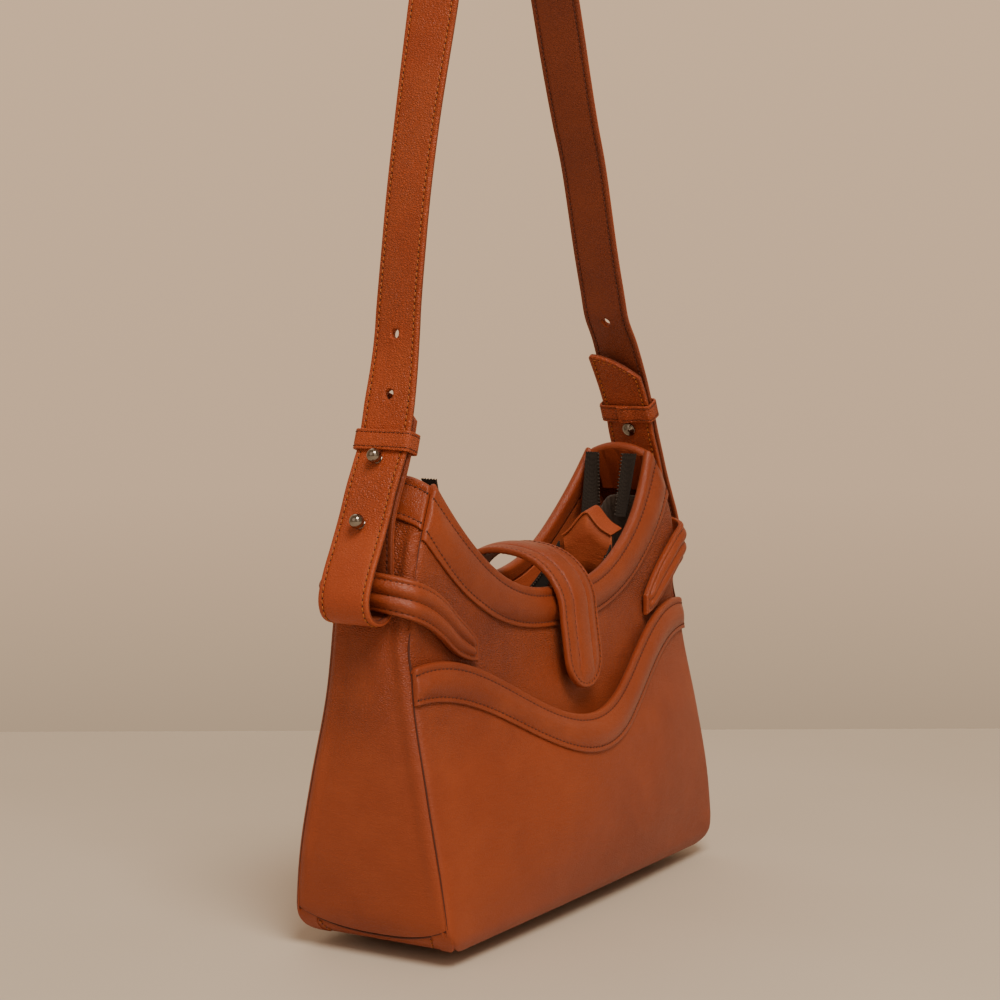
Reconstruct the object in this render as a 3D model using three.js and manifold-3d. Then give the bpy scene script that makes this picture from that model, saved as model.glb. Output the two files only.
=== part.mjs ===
// A leather sling bag: a scooped body on metal feet, a slip pocket in front, an adjustable shoulder strap,
// a tab that closes over the mouth, and a zip below the mouth.
// Millimetres, +X to the bag's right-hand gusset, -Y to the front, +Z up. The origin is on the ground,
// under the middle of the bag.
import * as THREE from "three";
import { mergeVertices } from "three/addons/utils/BufferGeometryUtils.js";
import Module from "manifold-3d";

const wasm = await Module();
wasm.setup();

// ---------------------------------------------------------------- driving dimensions
const LEATHER = 2.2; // body leather with its backing
const GAP = 0.4; // between pieces that touch
const BASE_Z = 6; // underside of the bag, the height of the feet
const EDGE_R = 12; // roll of the front and back panels under the base
const CORNER_R = 20; // roll of the gussets under the base
const GUSSET_FOOT_Z = 12; // where the gusset is sewn to the base
const HORN_X = 120.5; // half the distance between the mouth's two horns
const HORN_Z = 249.5;
const MOUTH_Z = 183.3; // lowest point of the mouth's edge
const BAND = 20; // width of the padded bands at their middle
const BAND_THICK = 2.8;
const BAND_SEAT = 0.8; // clearance of a band, facing or lining from the wall that curves under it
const POCKET_LAYER = LEATHER + 1; // the front wall steps back this far under the pocket
const STEP_Z = 163; // above the pocket the front wall comes back out to the seam
const STRAP_WIDTH = 31;
const STRAP_THICK = 2.8;
const TAB_WIDTH = 38;
const TAB_THICK = 3.2;
const FOLD_Z = 345; // height at which the shoulder strap folds over
const FOLD_LIMIT = THREE.MathUtils.degToRad(115);
const STUD_BALL = 8;
const STUD_NECK = 3.4;
const FLANGE_RADIUS = 2.8;
const FLANGE_THICK = 0.4;
const SCREW_RADIUS = 4;
const SCREW_THICK = 1.3;
const FOOT_DIAMETER = 12;
const FOOT_X = 103;
const FOOT_Y = 28.6;
const PANEL_COLUMNS = 16;
const PANEL_ROWS = 11;
const ROLL_ROWS = 2; // how many of the rows go round the roll at the base

// Half width of the body, and half its depth at the side seams, against height.
const halfWidth = profile([
  [0, 149], [60, 152], [120, 150.5], [180, 146.5], [215, 140], [250, HORN_X], [265, 110],
]);
const halfDepth = profile([
  [0, 52.5], [50, 46.8], [95, 38.3], [140, 29.4], [180, 26.4], [215, 26], [265, 20],
]);
// How far each wall stands out between its side seams.
const frontBulge = profile([[6, 0], [40, 6], [92, 8], [130, 9], [163, 8.3], [183, 5.6], [265, 1]]);
const pocketBulge = profile([[6, 0], [40, 11], [92, 17.5], [112, 15.5], [135, 13.5], [165, 11]]);
const backBulge = profile([[6, 0], [40, 11.6], [92, 15], [130, 12], [163, 7.5], [183, 4.5], [265, 1]]);

// ---------------------------------------------------------------- curves of the body
// A smooth curve through [place, value] pairs.
function profile(points) {
  const slope = points.map((_, i) => {
    const [x0, y0] = points[Math.max(i - 1, 0)];
    const [x1, y1] = points[Math.min(i + 1, points.length - 1)];
    return (y1 - y0) / (x1 - x0);
  });
  return (x) => {
    const at = THREE.MathUtils.clamp(x, points[0][0], points.at(-1)[0]);
    let i = 0;
    while (i < points.length - 2 && at > points[i + 1][0]) i++;
    const [x0, y0] = points[i];
    const [x1, y1] = points[i + 1];
    const w = x1 - x0;
    const t = (at - x0) / w;
    const rise = t * t * (3 - 2 * t);
    return y0 + (y1 - y0) * rise + w * t * (1 - t) * ((1 - t) * slope[i] - t * slope[i + 1]);
  };
}

const smooth = (x, from, to) => THREE.MathUtils.smoothstep(x, from, to);
const mouthEdge = (x) => MOUTH_Z + (HORN_Z - MOUTH_Z) * Math.abs(x / HORN_X) ** 2.65;
const mouthBandEdge = (x) => MOUTH_Z - BAND + 61.5 * Math.abs(x / 136) ** 2.62;
const pocketEdge = (x) => 112.3 + 23.25 * (1 - Math.cos((Math.PI * x) / 135));
const pocketBandEdge = (x) => 112.3 - BAND + 23.65 * (1 - Math.cos((Math.PI * x) / 143));

// Half width of the outline, with its rolled corner at the base, `inside` mm within the outer face.
function outlineX(z, inside = 0) {
  const drop = Math.max(0, BASE_Z + CORNER_R - z);
  return halfWidth(z) - CORNER_R + Math.sqrt(Math.max(0, (CORNER_R - inside) ** 2 - drop ** 2));
}

// Half depth at the side seam of the layer that lies `inside` mm within the outer face.
function seamDepth(z, inside = 0) {
  const drop = BASE_Z + EDGE_R - z;
  if (drop <= 0) return halfDepth(z) - inside;
  return halfDepth(z) - EDGE_R + Math.sqrt(Math.max(0, (EDGE_R - inside) ** 2 - drop ** 2));
}

const frontDepth = (u, z) => {
  const step = POCKET_LAYER * (1 - smooth(z, STEP_Z, STEP_Z + 22));
  return seamDepth(z, step) + frontBulge(z) * (1 - u * u);
};
const pocketDepth = (u, z) => seamDepth(z) + pocketBulge(z) * (1 - u * u);
const backDepth = (u, z) => seamDepth(z) + backBulge(z) * (1 - u * u);

// Where the line at fraction u of the half width meets an edge curve.
function edgeHeight(u, edge) {
  let [low, high] = [0, 165];
  for (let i = 0; i < 30; i++) {
    const x = (low + high) / 2;
    if (x / outlineX(edge(x)) < Math.abs(u)) low = x;
    else high = x;
  }
  return edge(low);
}

// Height of a panel's row at fraction b, counting the rows that go round the roll at its foot.
function rowHeight(b, foot, roll, top) {
  const share = ROLL_ROWS / PANEL_ROWS;
  if (b <= share) return foot + roll * (1 - Math.cos((b / share) * (Math.PI / 2)));
  return THREE.MathUtils.mapLinear(b, share, 1, foot + roll, top);
}

// ---------------------------------------------------------------- solids
// One closed piece: a box of nu x nv x nt cells whose points go where place(a, b, c) says.
function mappedBox(nu, nv, nt, place) {
  return mapped(new THREE.BoxGeometry(1, 1, 1, nu, nv, nt), (p) => place(p.x + 0.5, p.y + 0.5, p.z + 0.5));
}

function mapped(geometry, place) {
  const position = geometry.getAttribute("position");
  const point = new THREE.Vector3();
  for (let i = 0; i < position.count; i++) {
    const to = place(point.fromBufferAttribute(position, i));
    position.setXYZ(i, to.x, to.y, to.z);
  }
  return closed(geometry);
}

// The geometry with its shared points merged and its faces pointing out.
function closed(geometry) {
  geometry.deleteAttribute("normal");
  geometry.deleteAttribute("uv");
  const merged = mergeVertices(geometry, 1e-3);
  const [p, q, r] = [new THREE.Vector3(), new THREE.Vector3(), new THREE.Vector3()];
  const position = merged.getAttribute("position");
  const index = merged.index.array;
  let volume = 0;
  for (let i = 0; i < index.length; i += 3) {
    p.fromBufferAttribute(position, index[i]);
    q.fromBufferAttribute(position, index[i + 1]);
    r.fromBufferAttribute(position, index[i + 2]);
    volume += p.dot(q.cross(r));
  }
  if (volume < 0) {
    for (let i = 0; i < index.length; i += 3) [index[i], index[i + 1]] = [index[i + 1], index[i]];
  }
  merged.computeVertexNormals();
  return merged;
}

// A shell over surface(a, b), from `under` to `over` mm along its outward direction.
function shell(nu, nv, surface, outward, under, over) {
  const h = 1e-3;
  return mappedBox(nu, nv, 1, (a, b, c) => {
    const at = surface(a, b);
    const stepA = a < 0.5 ? h : -h;
    const stepB = b < 0.5 ? h : -h;
    const alongA = surface(a + stepA, b).sub(at).divideScalar(stepA);
    const alongB = surface(a, b + stepB).sub(at).divideScalar(stepB);
    const normal = alongA.cross(alongB).normalize();
    if (normal.dot(outward(a, b)) < 0) normal.negate();
    return at.addScaledVector(normal, THREE.MathUtils.lerp(under, over, c));
  });
}

function toSolid(geometry) {
  const g = closed(geometry);
  return new wasm.Manifold(
    new wasm.Mesh({
      numProp: 3,
      vertProperties: new Float32Array(g.getAttribute("position").array),
      triVerts: new Uint32Array(g.index.array),
    }),
  );
}

function fromSolid(solid) {
  const mesh = solid.getMesh();
  const g = new THREE.BufferGeometry();
  g.setAttribute("position", new THREE.BufferAttribute(new Float32Array(mesh.vertProperties), 3));
  g.setIndex(new THREE.BufferAttribute(new Uint32Array(mesh.triVerts), 1));
  g.computeVertexNormals();
  return g;
}

// A flat strip of the given thickness along a smooth line in the XZ plane, as wide as `width` in Y.
function stripAlong(points, thickness, width, steps) {
  const line = new THREE.SplineCurve(points.map(([x, z]) => new THREE.Vector2(x, z)));
  const left = [];
  const right = [];
  for (let i = 0; i <= steps; i++) {
    const at = line.getPointAt(i / steps);
    const along = line.getTangentAt(i / steps);
    const side = new THREE.Vector2(-along.y, along.x).multiplyScalar(thickness / 2);
    left.push(at.clone().add(side));
    right.push(at.clone().sub(side));
  }
  const outline = new THREE.Shape([...left, ...right.reverse()]);
  const strip = new THREE.ExtrudeGeometry(outline, { depth: width, bevelEnabled: false, steps: 1 });
  return strip.rotateX(Math.PI / 2).translate(0, width / 2, 0);
}

// ---------------------------------------------------------------- materials
const finish = {
  leather: { color: 0xa8532a, roughness: 0.55, metalness: 0 },
  lining: { color: 0x4a423e, roughness: 0.9, metalness: 0 },
  tape: { color: 0x2f2b2b, roughness: 0.85, metalness: 0 },
  nickel: { color: 0xb9b6b0, roughness: 0.22, metalness: 1 },
  board: { color: 0x6d6257, roughness: 0.8, metalness: 0 },
};

const bag = new THREE.Group();
function add(name, geometry, kind) {
  const mesh = new THREE.Mesh(geometry, new THREE.MeshStandardMaterial(finish[kind]));
  mesh.name = name;
  bag.add(mesh);
  return mesh;
}

// ---------------------------------------------------------------- body walls
const FRONT = -1;
const BACK = 1;
const facing = (side) => () => new THREE.Vector3(0, side, 0);
const onWall = (side, depth, u, z) => new THREE.Vector3(u * outlineX(z), side * depth(u, z), z);

function wall(side, depth, inside, edge) {
  const foot = BASE_Z + inside;
  const surface = (a, b) => {
    const u = 2 * a - 1;
    return onWall(side, depth, u, rowHeight(b, foot, EDGE_R - inside, edgeHeight(u, edge)));
  };
  return shell(PANEL_COLUMNS, PANEL_ROWS, surface, facing(side), -LEATHER, 0);
}

// A padded band on a wall, between two edge curves.
function band(side, depth, upper, lower, under, over, reach = 1) {
  const surface = (a, b) => {
    const u = (2 * a - 1) * reach;
    const z = THREE.MathUtils.lerp(edgeHeight(u, lower), edgeHeight(u, upper), b);
    return onWall(side, depth, u, z);
  };
  return shell(PANEL_COLUMNS, 2, surface, facing(side), under, over);
}

add("front_panel", wall(FRONT, frontDepth, POCKET_LAYER, mouthEdge), "leather");
add("back_panel", wall(BACK, backDepth, 0, mouthEdge), "leather");
add("front_pocket", wall(FRONT, pocketDepth, 0, pocketEdge), "leather");
add("pocket_band", band(FRONT, pocketDepth, pocketEdge, pocketBandEdge, BAND_SEAT, BAND_THICK), "leather");
add("mouth_band_front", band(FRONT, frontDepth, mouthEdge, mouthBandEdge, BAND_SEAT, BAND_THICK), "leather");
add("mouth_band_back", band(BACK, backDepth, mouthEdge, mouthBandEdge, BAND_SEAT, BAND_THICK), "leather");

// Leather facing inside the mouth, on each wall.
const FACING = 1.4;
const facingEdge = (x) => mouthEdge(x) - 30;
for (const [name, side, depth] of [["facing_front", FRONT, frontDepth], ["facing_back", BACK, backDepth]]) {
  const over = -LEATHER - BAND_SEAT;
  add(name, band(side, depth, mouthEdge, facingEdge, over - FACING, over, 0.93), "leather");
}

// Gussets: the two end walls, between the front and back walls.
const HORN_CROWN = 5; // rise of a gusset's top edge between the two horns
const hornTop = (y) => HORN_Z + HORN_CROWN * (1 - (y / 20) ** 2);
const gussetFront = (z) =>
  0.1 - seamDepth(z, POCKET_LAYER * (1 - smooth(z, STEP_Z, STEP_Z + 22)) + LEATHER + GAP);
const gussetBack = (z) => seamDepth(z, LEATHER + GAP) - 0.1;
const gussetX = (y, z) => outlineX(z) + 3 * (1 - (y / seamDepth(z)) ** 2) * smooth(z, BASE_Z, 60);
function onGusset(end, a, z) {
  const y = THREE.MathUtils.lerp(gussetFront(z), gussetBack(z), a);
  return new THREE.Vector3(end * gussetX(y, z), y, z);
}
function gusset(end) {
  const surface = (a, b) => {
    const y = THREE.MathUtils.lerp(gussetFront(HORN_Z), gussetBack(HORN_Z), a);
    const share = 2 / 14;
    const cornerTop = BASE_Z + CORNER_R;
    const z = b < share
      ? THREE.MathUtils.mapLinear(b, 0, share, GUSSET_FOOT_Z, cornerTop)
      : THREE.MathUtils.mapLinear(b, share, 1, cornerTop, hornTop(y));
    return onGusset(end, a, z);
  };
  return shell(8, 14, surface, () => new THREE.Vector3(end, 0, 0), -LEATHER, 0);
}

// Binding folded over the top of a gusset, between the two horns.
function hornBinding(end) {
  const surface = (a, b) => {
    const y = THREE.MathUtils.lerp(gussetFront(HORN_Z), gussetBack(HORN_Z), a);
    return onGusset(end, a, THREE.MathUtils.lerp(hornTop(y) - BAND, hornTop(y), b));
  };
  return shell(8, 3, surface, () => new THREE.Vector3(end, 0, 0), GAP, 1.9);
}

// The base panel, turned up at both ends to meet the gussets.
function basePanel() {
  const turn = Math.acos((BASE_Z + CORNER_R - GUSSET_FOOT_Z) / CORNER_R);
  const share = 0.2;
  const clear = 4 * GAP;
  const surface = (a, b) => {
    const end = b < 0.5 ? -1 : 1;
    const fromEnd = Math.min(b, 1 - b);
    const angle = fromEnd < share ? turn * (1 - fromEnd / share) : 0;
    const z = BASE_Z + CORNER_R * (1 - Math.cos(angle));
    const flat = halfWidth(BASE_Z) - CORNER_R;
    const x = fromEnd < share
      ? end * (halfWidth(z) - CORNER_R + CORNER_R * Math.sin(angle))
      : THREE.MathUtils.mapLinear(b, share, 1 - share, -flat, flat);
    const front = clear - seamDepth(z, POCKET_LAYER + LEATHER);
    const y = THREE.MathUtils.lerp(front, seamDepth(z, LEATHER) - clear, a);
    return new THREE.Vector3(x, y, z);
  };
  return shell(2, 10, surface, () => new THREE.Vector3(0, 0, -1), -LEATHER, 0);
}
add("base_panel", basePanel(), "leather");

for (const [word, end] of [["left", -1], ["right", 1]]) {
  add(`${word}_gusset`, gusset(end), "leather");
  add(`${word}_horn_binding`, hornBinding(end), "leather");
  add(`${word}_side_loop`, sideLoop(end), "leather");
}

// The stiffener on the base, under the lining.
const BOARD_THICK = 2;
const boardZ = BASE_Z + LEATHER + GAP;
const boardShape = new THREE.BoxGeometry(246, 74, BOARD_THICK);
add("base_board", boardShape.translate(0, 0, boardZ + BOARD_THICK / 2), "board");

// A side loop: a padded band across the gusset, with a pointed end on each wall. The strap passes under it.
function sideLoop(end) {
  const offWall = 3.7; // from the wall's face to the middle of the band
  const onWalls = [[95, 161], [112, 171.5], [126, 182], [137, 189]];
  const half = (side, depth) => onWalls.map(([x, z]) =>
    new THREE.Vector3(x, side * (depth(x / outlineX(z), z) + offWall), z));
  const middle = [
    [149, -27.5, 194.5], [154.6, -17, 197.5], [155.2, 0, 198.8], [154.6, 17, 197.5], [149, 27.5, 194.5],
  ];
  const line = new THREE.CatmullRomCurve3(
    [
      ...half(FRONT, frontDepth),
      ...middle.map((p) => new THREE.Vector3(...p)),
      ...half(BACK, backDepth).reverse(),
    ],
    false,
    "centripetal",
  );
  const tallness = profile([[0, 6], [0.05, 9], [0.12, 11], [0.2, 11.4], [0.35, 10.6], [0.5, 9.9]]);
  return mappedBox(24, 1, 1, (a, b, c) => {
    const at = line.getPointAt(a);
    const along = line.getTangentAt(a);
    const out = new THREE.Vector3(along.y, -along.x, 0).normalize();
    const tall = tallness(Math.min(a, 1 - a));
    at.addScaledVector(out, (c - 0.5) * 3.6);
    at.z += (2 * b - 1) * tall;
    at.x *= end;
    return at;
  });
}

// ---------------------------------------------------------------- lining
// A cloth bag inside the walls, open at the top, made by shaping a lathed cup to the body.
function lining() {
  const thick = 1;
  const floor = boardZ + BOARD_THICK + GAP;
  const rows = [0.06, 0.3, 0.65, 1];
  const cup = [[0, 0], [0.6, 0], [1, 0], ...rows.map((h) => [1, h])];
  const inner = [...rows.map((h) => [0.99, h]).reverse(), [0.99, 0.01], [0.6, 0.01], [0, 0.01]];
  const profilePoints = [...cup, ...inner].map(([r, h]) => new THREE.Vector2(r, h));
  const geometry = new THREE.LatheGeometry(profilePoints, 32);
  return mapped(geometry, (p) => {
    const r = Math.hypot(p.x, p.z);
    const [c, s] = r > 0 ? [p.x / r, p.z / r] : [0, 0];
    const inside = r > 0.985 && r < 0.995 ? thick : 0;
    const radius = r > 0.985 ? 1 : r;
    const isFloor = p.y < 0.015;
    const low = p.y < 0.02 ? floor + (p.y > 0.005 ? thick : 0) : floor;
    const unit = (v) => (Math.abs(v) < 1e-6 ? 0 : Math.sign(v) * Math.abs(v) ** 0.3);
    const wallAt = (z) => {
      const x = radius * unit(c) * (outlineX(z, LEATHER + 1) - 2.4 - inside);
      const layer = LEATHER + (s < 0 ? POCKET_LAYER : 0);
      const bulge = (s < 0 ? frontBulge(z) : backBulge(z)) * (1 - (x / outlineX(z)) ** 2);
      return [x, radius * unit(s) * (seamDepth(z, layer + 1) + bulge - 2.2 - inside)];
    };
    let z = low;
    if (!isFloor) {
      const [x] = wallAt(150);
      z = THREE.MathUtils.lerp(floor, mouthEdge(x * 0.86) - 32, p.y);
    }
    const [x, y] = wallAt(z);
    return new THREE.Vector3(x, y, z);
  });
}
add("lining", lining(), "lining");

// ---------------------------------------------------------------- zip
const TAPE_THICK = 1.2;
const TAPE_TALL = 13;
const TAIL_WIDTH = 11.5;
const PLACKET_THICK = 1.2;
const ZIP_REACH = 78; // half the length of the opening
const SLIDER_X = -62; // the slider is parked where the two tapes come together
const tapeZ = (x) => 158 + 34 * Math.abs(x / ZIP_REACH) ** 2.4;
const tapeY = (x) => 1.6 + (15.5 + 2.5 * (1 - (x / ZIP_REACH) ** 2)) * smooth(x, SLIDER_X, SLIDER_X + 45);
for (const [word, side] of [["front", FRONT], ["back", BACK]]) {
  add(`zip_tape_${word}`, mappedBox(18, 1, 1, (a, b, c) => {
    const x = THREE.MathUtils.lerp(-ZIP_REACH, ZIP_REACH, a);
    return new THREE.Vector3(x, side * (tapeY(x) + TAPE_THICK * c), tapeZ(x) + TAPE_TALL * (b - 0.5));
  }), "tape");

  // Leather strip from the wall down to the tape.
  const depth = side === FRONT ? frontDepth : backDepth;
  const placket = (a, b) => {
    const x = THREE.MathUtils.lerp(-ZIP_REACH, ZIP_REACH, a);
    const top = mouthEdge(x) - 8;
    const outer = depth(x / outlineX(top), top) - LEATHER - FACING - 3 * GAP - 1.4;
    const y = THREE.MathUtils.lerp(tapeY(x) + TAPE_THICK + GAP, outer, b * (1.6 - 0.6 * b));
    return new THREE.Vector3(x, side * y, THREE.MathUtils.lerp(tapeZ(x) - 5, top, b));
  };
  add(`zip_placket_${word}`, shell(18, 2, placket, facing(side), 0, PLACKET_THICK), "leather");

  // The tape's ends, which climb across the gusset's inside to the horns.
  for (const [hand, end] of [["left", -1], ["right", 1]]) {
    add(`zip_tail_${word}_${hand}`, mappedBox(1, 5, 1, (a, b, c) => {
      const z = THREE.MathUtils.lerp(217, 254, b);
      const x = THREE.MathUtils.lerp(98, 110, b) + TAPE_THICK * c;
      const y = THREE.MathUtils.lerp(13, 17, b) - TAIL_WIDTH * a;
      return new THREE.Vector3(end * x, side * y, z);
    }), "tape");
  }
}

// A peaked leather patch bridges the walls at each end of the zip.
const PATCH_HALF = 14.5;
const PATCH_PEAK = 13;
const PATCH_THICK = 1.4;
for (const [word, end] of [["left", -1], ["right", 1]]) {
  add(`${word}_zip_patch`, mappedBox(3, 8, 1, (a, b, c) => {
    const y = THREE.MathUtils.lerp(-PATCH_HALF, PATCH_HALF, b);
    const peak = PATCH_PEAK * (1 - Math.abs(y / PATCH_HALF));
    const x = THREE.MathUtils.lerp(80, 93, a);
    return new THREE.Vector3(end * x, y, 202 + 0.2 * (x - 80) + peak + PATCH_THICK * c);
  }), "leather");
}

const slope = Math.atan2(tapeZ(SLIDER_X + 1) - tapeZ(SLIDER_X), 1);
const sliderShape = new THREE.Shape();
sliderShape.moveTo(-6, -3).lineTo(-6, 3).lineTo(4, 5).lineTo(6, 3.4).lineTo(6, -3.4).lineTo(4, -5);
const sliderGroup = new THREE.Group();
sliderGroup.position.set(SLIDER_X, 0, tapeZ(SLIDER_X) + TAPE_TALL / 2 + GAP);
sliderGroup.rotation.y = -slope;
bag.add(sliderGroup);
const sliderBody = new THREE.ExtrudeGeometry(sliderShape, { depth: 3, bevelEnabled: false });
const slider = add("zip_slider", sliderBody, "nickel");
sliderGroup.add(slider);
const pullShape = new THREE.Shape();
pullShape.moveTo(0, -2.6).lineTo(20, -3.4).absarc(20, 0, 3.4, -Math.PI / 2, Math.PI / 2).lineTo(0, 2.6);
const pullHole = new THREE.Path().absarc(19.5, 0, 1.7, 0, Math.PI * 2, true);
pullShape.holes.push(pullHole);
const pull = add("zip_pull", new THREE.ExtrudeGeometry(pullShape, {
  depth: 1.4, bevelEnabled: false, curveSegments: 8,
}), "nickel");
pull.position.set(-2, 0, 3 + GAP);
sliderGroup.add(pull);

// ---------------------------------------------------------------- closure tab
// Sewn to the back wall at its root, it arches over the mouth and hangs down the front.
const tabLine = new THREE.CatmullRomCurve3(
  [[50, 118], [45, 134], [41.4, 149], [39.8, 165], [37.9, 178], [33, 190], [22, 199.5], [7, 204], [-9, 203.4],
    [-22, 199.4], [-32.2, 191.4], [-38.8, 180], [-40.9, 166], [-43, 150], [-46, 127]]
    .map(([y, z]) => new THREE.Vector3(0, y, z)),
);
const tabLength = tabLine.getLength();
const TAB_FOLD = 0.235; // place along the tab where it bends as it is lifted, just above its sewn root
const TAB_SLACK = 3.4; // the sewn root ends this far short of the fold
function tabPiece(from, to, steps) {
  return mappedBox(2, steps, 1, (a, b, c) => {
    const t = THREE.MathUtils.lerp(from, to, b ** 0.9);
    const at = tabLine.getPointAt(t);
    const along = tabLine.getTangentAt(t);
    const toEnd = Math.min(t, 1 - t) * tabLength;
    const r = TAB_WIDTH / 2;
    const half = toEnd < r ? Math.sqrt(Math.max(r * r - (r - toEnd) ** 2, 9)) : r;
    at.addScaledVector(new THREE.Vector3(0, -along.z, along.y), TAB_THICK * (c - 0.5));
    at.x = (2 * a - 1) * half;
    return at;
  });
}
add("tab_root", tabPiece(0, TAB_FOLD - TAB_SLACK / tabLength, 6), "leather");
add("closure_tab", tabPiece(TAB_FOLD + GAP / tabLength, 1, 22), "leather");

// Magnetic snap: one half under the tab's end, the other on the front wall.
const SNAP_RADIUS = 7;
const SNAP_THICK = 2.4;
const SNAP_Z = 140;
function disc(radius, thickness) {
  return new THREE.CylinderGeometry(radius, radius, thickness, 16);
}
const socketY = -frontDepth(0, SNAP_Z) - 1.3 - SNAP_THICK / 2;
const socket = add("snap_socket", disc(SNAP_RADIUS, SNAP_THICK), "nickel");
socket.position.set(0, socketY, SNAP_Z);
const snapAt = tabPointAtHeight(SNAP_Z);
const snap = add("snap_stud", disc(SNAP_RADIUS, SNAP_THICK), "nickel");
snap.rotation.x = -snapAt.tilt;
const snapOff = TAB_THICK / 2 + GAP + SNAP_THICK / 2;
snap.position.set(0, snapAt.y + snapOff * Math.cos(snapAt.tilt), SNAP_Z - snapOff * Math.sin(snapAt.tilt));

// Where the hanging end of the tab passes a height, and how far it leans there.
function tabPointAtHeight(z) {
  let [low, high] = [0.6, 1];
  for (let i = 0; i < 30; i++) {
    const t = (low + high) / 2;
    if (tabLine.getPointAt(t).z > z) low = t;
    else high = t;
  }
  const along = tabLine.getTangentAt(low);
  return { y: tabLine.getPointAt(low).y, tilt: Math.atan2(-along.y, -along.z) };
}

// ---------------------------------------------------------------- shoulder strap
// Each end comes down outside its gusset, folds under the side loop and rises again as a tail.
// The two ends share the fold, and each leans inwards by its own amount above it.
const foldRun = [[146.5, 250], [152.8, 236], [160, 222], [167.5, 208], [171.8, 196], [170, 187.6],
  [164, 183.4], [156.4, 183.2], [151.2, 186.8], [149.5, 194], [149.3, 212], [148.2, 232], [142.6, 247]];
const strapRuns = {
  left: { end: -1, upper: [[120.7, 332], [123.4, 316], [127.4, 299], [134, 274.2], [139.6, 263]],
    tail: [[136, 259.5], [129.8, 274.5], [126.2, 286], [123.2, 296], [121.8, 302]] },
  right: { end: 1, upper: [[104.6, 332], [114.6, 317.5], [124.9, 298], [135.6, 275], [141, 262]],
    tail: [[136.6, 259.5], [131.6, 273.8], [125.2, 286], [117.8, 297.5], [109.4, 309.5]] },
};
const strapHalf = STRAP_WIDTH / 2;
const KEEPER_TALL = 11;
const KEEPER_INSET = 2.5; // how far the ring's middle lies inside the outer run
const BALL_ROWS = 6;
const studPlaces = [10, 46.3]; // along the outer run, below the keeper's middle

// The space that the folding part of the strap sweeps below its fold line.
function foldRoof() {
  const peak = strapHalf / Math.sin(FOLD_LIMIT) + 0.6;
  const low = strapHalf / Math.tan((Math.PI - FOLD_LIMIT) / 2) + 0.6;
  const roof = new THREE.Shape([
    new THREE.Vector2(-strapHalf - 5, FOLD_Z + 10),
    new THREE.Vector2(-strapHalf - 5, FOLD_Z - low - (5 * (low - peak)) / strapHalf),
    new THREE.Vector2(0, FOLD_Z - peak),
    new THREE.Vector2(strapHalf + 5, FOLD_Z - low - (5 * (low - peak)) / strapHalf),
    new THREE.Vector2(strapHalf + 5, FOLD_Z + 10),
  ]);
  const solid = new THREE.ExtrudeGeometry(roof, { depth: 400, bevelEnabled: false });
  // The shape's x becomes Y and its y becomes Z.
  solid.applyMatrix4(new THREE.Matrix4().makeBasis(
    new THREE.Vector3(0, 1, 0), new THREE.Vector3(0, 0, 1), new THREE.Vector3(1, 0, 0)));
  return toSolid(solid.translate(-200, 0, 0));
}

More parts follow.
